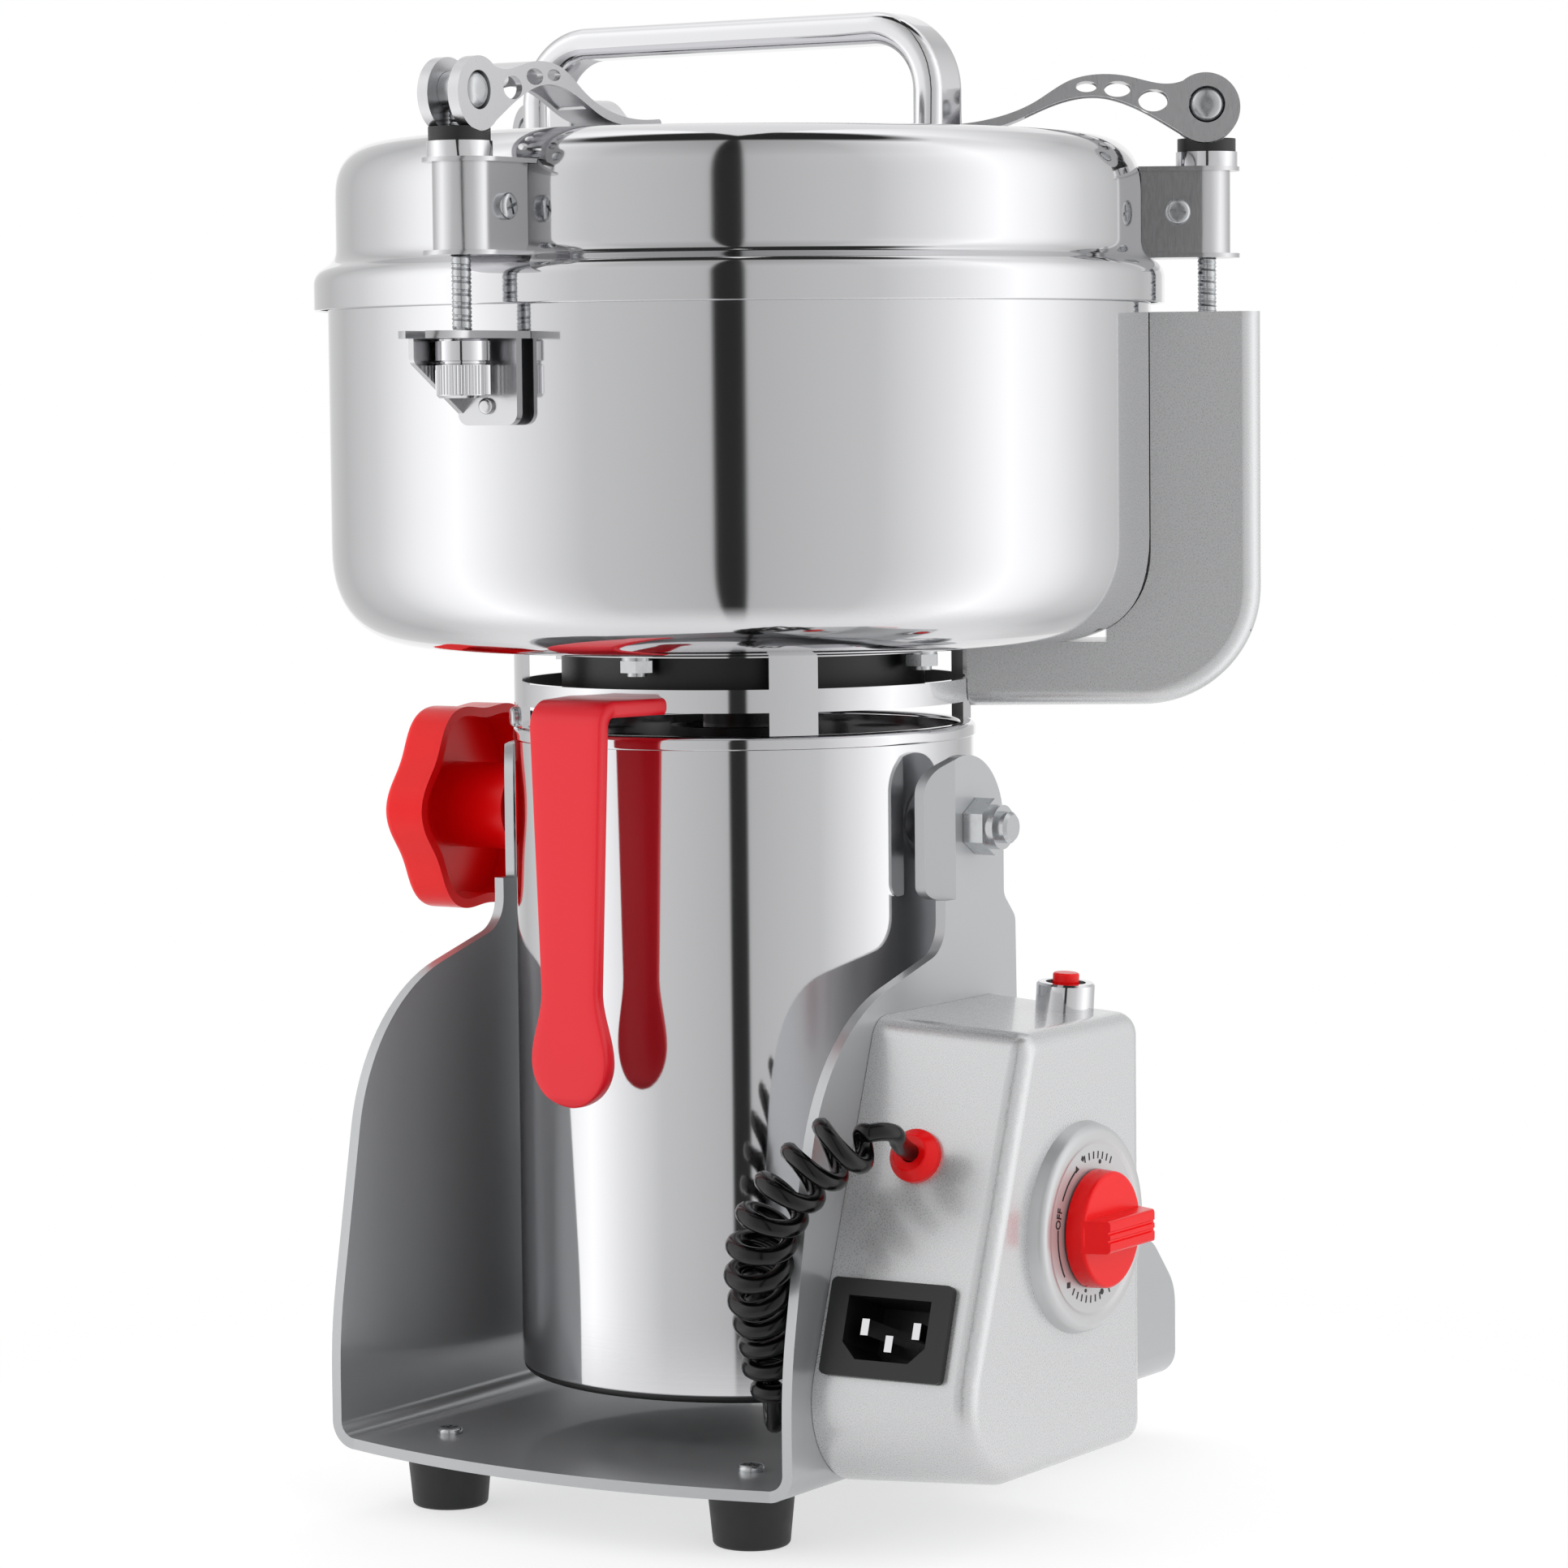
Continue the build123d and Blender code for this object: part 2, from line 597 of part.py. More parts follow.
def inlet_pins():
    """The three pins of the inlet."""
    pins = []
    for x, y in ((-PIN_PITCH / 2, PIN_UP), (PIN_PITCH / 2, PIN_UP), (0.0, PIN_DOWN)):
        pin = Box(PIN_W, PIN_H, SOCKET_DEEP + 4, align=(Align.CENTER, Align.CENTER, Align.MIN))
        pins.append(front_plane(INLET_X, INLET_Z) * Pos(x, y, -SOCKET_DEEP - 4.5) * pin)
    return group(pins)


def box_grommet():
    """Red strain relief where the curly cord leaves the box."""
    flange = turned([(0, 0), (GROMMET_R, 0), (GROMMET_R, 1.6, 0.8), (4.4, 4.0, 0.8), (0, 4.0)])
    barrel = rod(GROMMET_R - 1.6, -BOX_WALL - 1.5, 0)
    collar = rod(GROMMET_R - 0.8, -BOX_WALL - 1.4, -BOX_WALL - 0.1)
    body = (flange + barrel + collar) - rod(CORD_R, -20, 20)
    return front_plane(GROMMET_X, GROMMET_Z) * body


def timer_body():
    """Clockwork of the timer, on the inside of the box's outer wall."""
    high = BOX_OUT - BOX_WALL - GAP
    body = rod_x(TIMER_R, high - TIMER_DEEP, high, DIAL_Y, DIAL_Z)
    body += rod_x(TIMER_NECK_R - GAP, high - 1, BOX_OUT - GAP, DIAL_Y, DIAL_Z)
    return body - rod_x(TIMER_SHAFT_R + RUN, high - 16, BOX_OUT + 1, DIAL_Y, DIAL_Z)


def dial_plate():
    """Grey disc under the knob."""
    disc = rod_x(DIAL_R, BOX_OUT, BOX_OUT + DIAL_T, DIAL_Y, DIAL_Z)
    disc = fillet(disc.edges().group_by(Axis.X)[-1], 1.0)
    return disc - rod_x(TIMER_SHAFT_R + 0.4, BOX_OUT - 1, BOX_OUT + DIAL_T + 1, DIAL_Y, DIAL_Z)


def timer_knob():
    """Red knob with its tapered grip bar, and the shaft that it turns."""
    low = BOX_OUT + DIAL_T + GAP
    disc = rod_x(KNOB_R, low, low + KNOB_T, DIAL_Y, DIAL_Z)
    disc = fillet(disc.edges().group_by(Axis.X)[-1], 0.6)
    top = low + KNOB_T + KNOB_BAR_T
    long, short = KNOB_R - 0.3, KNOB_R - KNOB_BAR_TAPER
    bar = prism_z([
        (low + 1, DIAL_Y - long), (low + KNOB_T, DIAL_Y - long), (top, DIAL_Y - short, 1.5),
        (top, DIAL_Y + short, 1.5), (low + KNOB_T, DIAL_Y + long), (low + 1, DIAL_Y + long),
    ], DIAL_Z - KNOB_BAR_W / 2, DIAL_Z + KNOB_BAR_W / 2)
    bar = fillet(bar.edges().group_by(Axis.X)[-1], 1.0)
    knob = disc + bar
    shaft_low = BOX_OUT - BOX_WALL - 15
    knob -= rod_x(TIMER_SHAFT_R, low - 1, low + KNOB_T, DIAL_Y, DIAL_Z)
    shaft = rod_x(TIMER_SHAFT_R, shaft_low, low + KNOB_T, DIAL_Y, DIAL_Z)
    return group([knob, shaft])


def overload_body():
    """Overload protector inside the box, its neck through the top wall."""
    under = -BOX_WALL - 0.9
    neck_top = BUTTON_NUT_H - 1.5
    body = rod(OVERLOAD_R, under - OVERLOAD_DEEP, under)
    body += rod(OVERLOAD_NECK_R - GAP, under - 1, neck_top)
    body -= rod(BUTTON_R + RUN, under - OVERLOAD_DEEP / 2, neck_top + 1)
    return top_plane(BUTTON_X, BUTTON_Y) * body


def overload_nut():
    """Chrome ring nut on the protector's neck."""
    nut = tube(BUTTON_NUT_R, OVERLOAD_NECK_R, 0, BUTTON_NUT_H)
    nut = chamfer(nut.edges().group_by(Axis.Z)[-1].sort_by(SortBy.LENGTH)[-1], 0.5)
    return top_plane(BUTTON_X, BUTTON_Y) * nut


def reset_button():
    """Red push button of the protector."""
    button = rod(BUTTON_R, -OVERLOAD_DEEP / 2, BUTTON_NUT_H + BUTTON_PROUD)
    button = fillet(button.edges().group_by(Axis.Z)[-1], 0.6)
    return top_plane(BUTTON_X, BUTTON_Y) * button


# ---------------------------------------------------------------- curly cord
def coil_path():
    """Centre line of the coiled stretch."""
    return [
        (88.5, -82.0, 106.5), (80.0, -85.0, 102.0), (70.5, -89.0, 93.0), (63.0, -89.5, 82.0),
        (58.5, -85.5, 70.0), (56.0, -77.5, 58.5), (55.6, -73.0, 47.5), (53.6, -70.2, 38.0),
    ]


def soft_path(points):
    """Straight runs joined by arcs as large as the runs allow; prints the radii."""
    radii = []
    for a, b, c in zip(points, points[1:], points[2:]):
        first, second = Vector(*b) - Vector(*a), Vector(*c) - Vector(*b)
        turn = radians(first.get_angle(second))
        radii.append(round(0.45 * min(first.length, second.length) / tan(turn / 2), 2))
    print("arc radii", radii)
    return FilletPolyline(*points, radius=radii)


def pipe(points, radius):
    """A round bar along a softened route."""
    path = soft_path(points)
    start = Plane(origin=path @ 0, z_dir=path % 0)
    return sweep(start * Circle(radius), path)


def coiled_cord():
    """The coil as one fat tube of its outer diameter."""
    return pipe(coil_path(), COIL_R)


def lead_points():
    """Routes of the two plain ends: box to coil, and coil to motor housing."""
    place = front_plane(GROMMET_X, GROMMET_Z)
    inside = place.from_local_coords((0, 0, -4))
    mouth = place.from_local_coords((0, 0, 10))
    top = [tuple(inside), tuple(mouth), (92.5, -75.5, 106.0), coil_path()[0]]
    angle = radians(HOUSING_CORD_TURN)
    wall = [((HOUSING_R + d) * sin(angle), -(HOUSING_R + d) * cos(angle)) for d in (-6, 9)]
    low = [
        coil_path()[-1], (51.6, -67.4, 28.5), (45.5, -59.7, 30.0),
        (*wall[1], HOUSING_CORD_Z), (*wall[0], HOUSING_CORD_Z),
    ]
    return top, low


def cord_leads():
    """Plain ends of the curly cord, each meeting the coil."""
    coil = coiled_cord()
    return group([pipe(points, CORD_R) - coil for points in lead_points()])


def out_of_housing(angle, z):
    """A plane on the housing's wall, facing outwards, at an angle from the front."""
    turn = radians(angle)
    out = Vector(sin(turn), -cos(turn), 0)
    return Plane(origin=HOUSING_R * out + Vector(0, 0, z), z_dir=out)


def housing_grommet():
    """Black bush where the cord enters the motor housing."""
    place = out_of_housing(HOUSING_CORD_TURN, HOUSING_CORD_Z)
    head = place * (rod(BUSH_R, -2.0, 2.6) - rod(CORD_R, -20, 20))
    head -= rod(HOUSING_R + GAP, 0, FAR)
    neck = rod(BUSH_NECK_R - GAP, -HOUSING_WALL - 2.8, 1.0) - rod(CORD_R, -20, 20)
    return head + place * neck


# ---------------------------------------------------------------- motor unit
def motor_housing():
    """Polished tube with the two pivot bosses."""
    shell = tube(HOUSING_R, HOUSING_IN, HOUSING_BOTTOM, HOUSING_TOP)
    for sign in (-1, 1):
        low, high = sorted((sign * (HOUSING_IN - 6), sign * (CHEEK_IN - BOSS_PLAY)))
        shell += rod_x(BOSS_R, low, high, 0, PIVOT_Z)
    shell -= rod_x(PIVOT_R, -CHEEK_OUT, CHEEK_OUT, 0, PIVOT_Z)
    place = out_of_housing(HOUSING_CORD_TURN, HOUSING_CORD_Z)
    return shell - place * Cylinder(BUSH_NECK_R, 12)


def housing_rim():
    """Rolled rim on the housing's upper edge."""
    rim = tube(HOUSING_R + RIM_PROUD, HOUSING_IN - RIM_LIP, HOUSING_TOP, RIM_TOP)
    return fillet(rim.edges().group_by(Axis.Z)[-1].sort_by(SortBy.LENGTH)[-1], 1.2)


def bottom_cap():
    """Black cap with slots for the cooling air."""
    plug = HOUSING_IN - GAP
    cap = turned([
        (0, CAP_BOTTOM), (HOUSING_R - CAP_INSET, CAP_BOTTOM, CAP_EDGE_R),
        (HOUSING_R - CAP_INSET, HOUSING_BOTTOM), (plug, HOUSING_BOTTOM),
        (plug, HOUSING_BOTTOM + CAP_PLUG), (plug - CAP_WALL, HOUSING_BOTTOM + CAP_PLUG),
        (plug - CAP_WALL, CAP_BOTTOM + CAP_WALL), (0, CAP_BOTTOM + CAP_WALL),
    ])
    for ring in CAP_SLOT_RINGS:
        slot = extrude(SlotOverall(0.62 * ring, 4), 2 * CAP_WALL, both=True)
        for k in range(8):
            cap -= Rot(0, 0, 45 * k) * Pos(0, ring, CAP_BOTTOM) * slot
    return cap


def stator_core():
    """Ring of laminations with its two field poles."""
    ring = tube(HOUSING_IN - GAP, STATOR_IN + STATOR_WALL, STATOR_LOW, STATOR_HIGH)
    return ring + pole_pieces()


def pole_pieces():
    """Two field poles that reach in to the rotor."""
    ring = tube(HOUSING_IN - STATOR_WALL, STATOR_IN, STATOR_LOW, STATOR_HIGH)
    half = STATOR_IN * 0.72
    return ring & block((-FAR, FAR), (-half, half), (STATOR_LOW, STATOR_HIGH))


def stator_coils():
    """Field windings above and below the core."""
    outer, inner = HOUSING_IN - COIL_INSET, STATOR_IN + COIL_ROOM
    low = tube(outer, inner, STATOR_LOW - 9, STATOR_LOW)
    high = tube(outer, inner, STATOR_HIGH, STATOR_HIGH + 6)
    return group([low, high])


def brush_holders():
    """Two brushes in their holders, held by the housing's wall."""
    high = sqrt((HOUSING_IN - GAP) ** 2 - 25) - 0.1
    holder = block((COMM_R + 0.3, high), (-5, 5), (COMM_LOW + 3, COMM_HIGH - 3))
    return group([holder, Rot(0, 0, 180) * holder])


def bearing_plates():
    """The plates that carry the two bearings."""
    plates = []
    for low in (BEARING_LOW, BEARING_HIGH):
        seat, top = low + BEARING_SEAT, low + BEARING_PLATE
        plate = rod(HOUSING_IN - GAP, low, top)
        plate += rod(BEARING_R + BEARING_PLATE, low, seat + BEARING_H)
        plate -= rod(BEARING_R, seat, seat + 2 * BEARING_H) + rod(SHAFT_R + SHAFT_ROOM, low - 1, top + 1)
        for k in range(6):
            hole = rod(PLATE_HOLE_R, low - 1, top + 1, HOUSING_R - PLATE_HOLE_INSET, 0)
            plate -= Rot(0, 0, 60 * k + 30) * hole
        if low == BEARING_LOW:
            notch = rod(7, low - 1, top + 1, 0, -HOUSING_R + NOTCH_INSET)
            plate -= Rot(0, 0, HOUSING_CORD_TURN) * notch
        plates.append(plate)
    return group(plates)


def bearings():
    """Two ball bearings, each as one ring."""
    rings = []
    for plate in (BEARING_LOW, BEARING_HIGH):
        low = plate + BEARING_SEAT
        rings.append(tube(BEARING_R, SHAFT_R + RUN, low, low + BEARING_H))
    return group(rings)


def insulator_disc():
    """Black disc and hub between the motor and the bowl."""
    hub_low = BEARING_HIGH + BEARING_SEAT + BEARING_H
    disc = rod(FLANGE_R - 0.6, BAND_Z + 0.4, FLOOR_Z) + rod(HUB_R, hub_low, BAND_Z + 1)
    return disc - rod(SHAFT_R + SHAFT_ROOM, 0, FLOOR_Z + 1)


def window(low, high, start, stop):
    """A wedge that cuts one window of the neck, between two angles."""
    reach = 2 * HOUSING_R
    angles = [start + (stop - start) * k / 4 for k in range(5)]
    corners = [(0, 0)] + [(reach * sin(radians(a)), -reach * cos(radians(a))) for a in angles]
    return prism_z(corners, low, high)


def neck_ring():
    """Windowed ring that carries the bowl, with an inward flange on top."""
    top = FLOOR_Z - FLANGE_T
    ring = tube(HOUSING_R, HOUSING_R - NECK_WALL, RIM_TOP, FLOOR_Z)
    ring += tube(HOUSING_R, FLANGE_R, top, FLOOR_Z)
    wall = tube(2 * HOUSING_R, HOUSING_R - WINDOW_DEEP, 0, FLOOR_Z)
    for k in range(4):
        start = POST_AT - 90 + 90 * k + POST_ANGLE / 2
        stop = start + 90 - POST_ANGLE
        ring -= window(RIM_TOP - 1, BAND_Z, start, stop) & wall
        ring -= window(BAND_Z + BAND_H, top, start, stop) & wall
    for x, y in bowl_bolt_places():
        ring -= rod(BOWL_BOLT_R + GAP, 0, FAR, x, y)
    return ring - neck_screw_hole()


def bowl_bolt_places():
    """(X, Y) of the four bolts under the bowl."""
    places = []
    for k in range(4):
        angle = radians(BOWL_BOLT_TURN + 90 * k)
        places.append((BOWL_BOLT_CIRCLE * sin(angle), -BOWL_BOLT_CIRCLE * cos(angle)))
    return places


def neck_screw_place():
    """Where the earth screw sits on the left front post."""
    return out_of_housing(-POST_AT, RIM_TOP + 2.6)


def neck_screw_hole():
    """The earth screw's hole."""
    return neck_screw_place() * Cylinder(M3_R, 3 * NECK_WALL)


def neck_bolts():
    """Bolts and nuts of the bowl's floor, and the earth screw on the left post."""
    pieces = []
    nut = extrude(RegularPolygon(4.6, 6), 3.0) - Cylinder(BOWL_BOLT_R, 20)
    washer = rod(3.9, 0, 1.0) - Cylinder(BOWL_BOLT_R, 20)
    under = FLOOR_Z - FLANGE_T
    for x, y in bowl_bolt_places():
        head = Pos(x, y, FLOOR_Z + BOWL_WALL) * pan_head(4.6, 2.0)
        pieces.append(head + rod(BOWL_BOLT_R, under - 5, FLOOR_Z + BOWL_WALL + 1, x, y))
        pieces.append(Pos(x, y, under - 1.0) * washer)
        pieces.append(Pos(x, y, under - 4.0) * nut)
    shank = Pos(0, 0, -NECK_WALL) * Cylinder(M3_R, 2 * NECK_WALL)
    pieces.append(neck_screw_place() * (pan_head(2.6, 1.7) + shank))
    return group(pieces)


# ---------------------------------------------------------------- bowl and blades
def bowl_outer():
    """The bowl's outer shape as a full solid."""
    return turned([
        (0, FLOOR_Z), (BOWL_R, FLOOR_Z, BOWL_CORNER), (BOWL_R, BOWL_TOP), (0, BOWL_TOP),
    ])


def bowl():
    """Spun steel bowl with a narrow rim flange."""
    inside, bottom = BOWL_R - BOWL_WALL, FLOOR_Z + BOWL_WALL
    inner = turned([
        (0, bottom), (inside, bottom, BOWL_CORNER - BOWL_WALL), (inside, BOWL_TOP + 1), (0, BOWL_TOP + 1),
    ])
    body = bowl_outer() + tube(BOWL_R + BOWL_LIP, inside, BOWL_TOP - BOWL_WALL, BOWL_TOP)
    body -= inner
    for x, y in bowl_bolt_places():
        body -= rod(BOWL_BOLT_R + GAP, 0, FAR, x, y)
    body -= rod(SEAL_R - 4, 0, FLOOR_Z + 5)
    for angle in lower_angles():
        body -= at_angle(rivet_shank(), angle)
    return body


def shaft_seal():
    """Seal round the shaft on the bowl's floor."""
    low = FLOOR_Z + BOWL_WALL
    seal = rod(SEAL_R, low, low + 3) + rod(SEAL_R - 5, low, low + 6)
    seal += rod(SEAL_R - 4.2, FLOOR_Z, low)
    return seal - rod(SHAFT_R + RUN, 0, FAR)


def rotor_core():
    """Slotted rotor with its winding ends."""
    core_r = STATOR_IN - AIR_GAP
    core = tube(core_r, SHAFT_R, STATOR_LOW, STATOR_HIGH)
    ends = tube(core_r - 4, SHAFT_R, STATOR_LOW - 8, STATOR_HIGH + 7)
    slot = block((-1, 1), (core_r - 3.2, core_r + 1), (STATOR_LOW - 1, STATOR_HIGH + 1))
    for k in range(12):
        core -= Rot(0, 0, 30 * k) * slot
    return core + ends


def commutator():
    """Copper ring that the brushes run on."""
    return tube(COMM_R, SHAFT_R, COMM_LOW, COMM_HIGH)


def motor_shaft():
    """Stepped shaft from the lower bearing up into the bowl."""
    shaft = rod(SHAFT_R, BEARING_LOW + 3, BLADE_TOP)
    return shaft + rod(THREAD_R, BLADE_TOP - 1, BLADE_TOP + 9)


def one_blade(low, angle):
    """A two-ended blade with swept tips."""
    half = [
        (-BLADE_HALF, 0), (-BLADE_HALF, 30), (-BLADE_HALF + 4, 66), (2, BLADE_LONG),
        (BLADE_HALF - 2, BLADE_LONG - 6), (BLADE_HALF, 30), (BLADE_HALF, 0),
    ]
    blade = prism_z(half, low, low + BLADE_T)
    blade += Rot(0, 0, 180) * blade
    return Rot(0, 0, angle) * (blade - rod(SHAFT_R, low - 1, low + BLADE_T + 1))


def grinding_blades():
    """Two crossed blades."""
    return group([one_blade(BLADE_Z, 20), one_blade(BLADE_Z + BLADE_T + BLADE_GAP, 110)])


def blade_spacers():
    """Ring between the blades, and the one that the lower blade stands on."""
    low = FLOOR_Z + BOWL_WALL + 6.3
    outer = SHAFT_R + SPACER_WALL
    return group([
        tube(outer, SHAFT_R, low, BLADE_Z),
        tube(outer, SHAFT_R, BLADE_Z + BLADE_T, BLADE_Z + BLADE_T + BLADE_GAP),
    ])


def blade_nut():
    """Washer-faced nut on the shaft's end."""
    nut = extrude(Plane.XY.offset(BLADE_TOP) * RegularPolygon(9, 6), 7)
    nut += rod(11, BLADE_TOP, BLADE_TOP + 1.5) + rod(7.5, BLADE_TOP, BLADE_TOP + 11)
    return nut - rod(THREAD_R, BLADE_TOP - 1, BLADE_TOP + 9)


# ---------------------------------------------------------------- red handle, arm
def handle_lever():
    """Flat bar bent down from the neck, dipped in red vinyl."""
    low = GRIP_END_Z
    blade = make_face(
        Polyline((-GRIP_END_R, low), (-GRIP_WAIST_HALF, GRIP_WAIST_Z), (-GRIP_TOP_HALF, GRIP_TOP),
                 (GRIP_TOP_HALF, GRIP_TOP), (GRIP_WAIST_HALF, GRIP_WAIST_Z), (GRIP_END_R, low))
        + ThreePointArc((GRIP_END_R, low), (0, low - GRIP_END_R), (-GRIP_END_R, low))
    )
    plane = Plane(origin=(0, -GRIP_OUT + GRIP_THICK, 0), x_dir=(1, 0, 0), z_dir=(0, -1, 0))
    bar = extrude(plane * blade, GRIP_THICK)
    bar = fillet(bar.edges().filter_by(lambda e: e.center().Z < GRIP_TOP - 4), GRIP_EDGE)
    root = HOUSING_R - 3
    tab = prism_z([
        (-GRIP_TOP_HALF, -GRIP_OUT), (GRIP_TOP_HALF, -GRIP_OUT), (GRIP_ROOT_HALF, -root),
        (-GRIP_ROOT_HALF, -root),
    ], GRIP_TOP - 3.5, GRIP_TOP)
    bar += tab - rod(HOUSING_R + GAP, 0, FAR)
    edge = bar.edges().filter_by(
        lambda e: abs(e.center().Y + GRIP_OUT) < 0.01 and abs(e.center().Z - GRIP_TOP) < 0.01
    )
    return fillet(edge, GRIP_FOLD)


def switch_arm():
    """Hollow arm from the neck up past the bowl, which takes the right clamp's bolt."""
    low = FLOOR_Z - ARM_FOOT
    top = FLOOR_Z + ARM_TOP - ARM_CAP
    root, seat, ledge = HOUSING_R - 3, BOWL_R - ARM_SEAT, FLOOR_Z - 0.3
    arm = prism_v([
        (root, low), (ARM_OUT, low, ARM_CORNER), (ARM_OUT, top), (seat, top), (seat, ledge),
        (root, ledge),
    ], ARM_HALF)
    outside = arm.edges().filter_by(
        lambda e: e.center().Y < -ARM_OUT + ARM_SEAT and abs(abs(e.center().X) - ARM_HALF) < 0.01
        and e.center().Z < top - 1)
    arm = fillet(outside, ARM_EDGE)
    inner, outer, floor = BOWL_R + ARM_WALL, ARM_OUT - ARM_WALL, FLOOR_Z + ARM_FLOOR
    arm -= prism_v([
        (inner, floor), (outer, floor), (outer, top + 1), (inner, top + 1),
    ], ARM_HALF - ARM_WALL)
    arm -= rod(HOUSING_R + GAP, 0, FAR)
    arm -= bowl_clearance()
    return at_angle(arm, CLAMP_ANGLES["right"])


def bowl_clearance():
    """The bowl's outside, grown by a small gap."""
    low, out, high = FLOOR_Z - BOWL_PLAY, BOWL_R + BOWL_PLAY, BOWL_TOP + 20
    return turned([(0, low), (out, low, BOWL_CORNER + BOWL_PLAY), (out, high), (0, high)])


def arm_cap():
    """Thin lid of the arm, with the bolt's hole."""
    top, seat = FLOOR_Z + ARM_TOP, BOWL_R - ARM_SEAT
    cap = prism_v([
        (seat, top - ARM_CAP), (ARM_OUT, top - ARM_CAP), (ARM_OUT, top), (seat, top),
    ], ARM_HALF)
    corners = cap.edges().filter_by(Axis.Z).filter_by(lambda e: e.center().Y < -ARM_OUT + 1)
    cap = fillet(corners, ARM_EDGE)
    cap -= bowl_clearance()
    cap -= rod(BOLT_R + BOLT_PLAY, 0, FAR, 0, -CLAMP_R)
    return at_angle(cap, CLAMP_ANGLES["right"])


def lid_switch():
    """Safety switch in the arm, pressed by the bolt when the lid is on."""
    top = BOLT_END - 2.2
    deep = (-ARM_OUT + ARM_WALL + GAP, -CLAMP_R + 9)
    switch = block((-5, 5), deep, (top - 16, top))
    switch += rod(2.0, top - 1, BOLT_END - 1.4, 0, -CLAMP_R)
    switch += block((-5, 5), deep, (FLOOR_Z + ARM_FLOOR, top - 15))
    return at_angle(switch, CLAMP_ANGLES["right"])


# ---------------------------------------------------------------- lid
def lid_outer(grow=0.0):
    """The lid's outer shape as a full solid."""
    step = LID_LOW + SKIRT_H
    return turned([
        (0, LID_LOW - grow), (SKIRT_R + grow, LID_LOW - grow), (SKIRT_R + grow, step + grow, 2.4),
        (LID_R + grow, step + 1.2 + grow, 4.4), (LID_R + grow, LID_TOP + grow, LID_CORNER + grow),
        (0, LID_TOP + grow),
    ])


def lid():
    """Deep drawn lid whose skirt goes over the bowl's rim."""
    step, skirt_in, wall_in = LID_LOW + SKIRT_H, SKIRT_R - LID_WALL, LID_R - LID_WALL
    hollow = turned([
        (0, LID_LOW - 1), (skirt_in, LID_LOW - 1), (skirt_in, step - LID_WALL, 1.3),
        (wall_in, step + 1.2 - LID_WALL, 5.5), (wall_in, LID_TOP - LID_WALL, LID_CORNER - LID_WALL),
        (0, LID_TOP - LID_WALL),
    ])
    body = lid_outer() - hollow
    for sign in (-1, 1):
        body -= rod(HANDLE_SCREW_R + GAP, LID_TOP - 5, LID_TOP + 1, sign * HANDLE_REACH, 0)
    return body


def lid_seal():
    """Black ring between the bowl's rim and the lid."""
    outer, inner = SKIRT_R - LID_WALL - 1.3, BOWL_R - BOWL_WALL - 1
    return tube(outer, inner, BOWL_TOP + RUN, LID_LOW + SKIRT_H - LID_WALL - RUN)


def lid_handle():
    """Bent flat bar on top of the lid."""
    high = LID_TOP + HANDLE_RISE - HANDLE_THICK / 2
    path = FilletPolyline(
        (-HANDLE_REACH, 0, LID_TOP), (-HANDLE_REACH, 0, high), (HANDLE_REACH, 0, high),
        (HANDLE_REACH, 0, LID_TOP), radius=HANDLE_BEND - HANDLE_THICK / 2,
    )
    start = Plane(origin=(-HANDLE_REACH, 0, LID_TOP), x_dir=(1, 0, 0), z_dir=(0, 0, 1))
    bar = sweep(start * RectangleRounded(HANDLE_THICK, HANDLE_WIDE, HANDLE_EDGE), path)
    for sign in (-1, 1):
        bar -= rod(HANDLE_SCREW_R, LID_TOP - 1, LID_TOP + 12, sign * HANDLE_REACH, 0)
    return bar


def bracket_outline(grow):
    """(X, Y) outline of an upper bracket: straight flanks and a round nose."""
    nose, root = -CLAMP_R + BRACKET_NOSE, -LID_R + LID_CORNER
    half = BRACKET_HALF + grow
    flanks = Pos(0, (nose + root) / 2, 0) * Rectangle(2 * half, root - nose)
    return flanks + Pos(0, nose, 0) * Circle(half)


def clamp_brackets():
    """Upper brackets: a bent sheet round each bolt, a plate below and one on top."""
    high, low = BRACKET_Z + BRACKET_H, BRACKET_Z - CLAMP_PLATE
    band = bracket_outline(0) - bracket_outline(-BRACKET_SHEET)
    cover = bracket_outline(PLATE_PROUD)
    body = extrude(Plane.XY.offset(BRACKET_Z) * band, BRACKET_H)
    body += extrude(Plane.XY.offset(high) * cover, CLAMP_PLATE)
    body += extrude(Plane.XY.offset(low) * cover, CLAMP_PLATE)
    body -= rod(BOLT_R + BOLT_PLAY - GAP, 0, FAR, 0, -CLAMP_R) + lid_outer(RUN)
    body -= Pos(0, -BRACKET_SCREW_U, BRACKET_Z + BRACKET_H / 2) * Rot(0, 90, 0) * Cylinder(M3_R, 60)
    return group([at_angle(body, angle) for angle in CLAMP_ANGLES.values()])


def lid_screws():
    """Screws of the clamp brackets, and those that hold the handle from inside."""
    screws = []
    under = LID_TOP - LID_WALL
    for sign in (-1, 1):
        head = Pos(sign * HANDLE_REACH, 0, under) * Rot(180, 0, 0) * pan_head(4.4, 2.6)
        screws.append(head + rod(HANDLE_SCREW_R, under - 1, LID_TOP + 12, sign * HANDLE_REACH, 0))
    screw = pan_head(3.3, 2.0) + Pos(0, 0, -2) * Cylinder(M3_R, 4.2)
    for angle in CLAMP_ANGLES.values():
        for sign in (-1, 1):
            place = Pos(sign * BRACKET_HALF, -BRACKET_SCREW_U, BRACKET_Z + BRACKET_H / 2)
            screws.append(at_angle(place * Rot(0, sign * 90, 0) * screw, angle))
    return group(screws)


def clamp_collars():
    """Chrome collars under the saddles."""
    collar = tube(COLLAR_R, BOLT_R + BOLT_PLAY, COLLAR_Z, SADDLE_Z, 0, -CLAMP_R)
    return group([at_angle(collar, angle) for angle in CLAMP_ANGLES.values()])


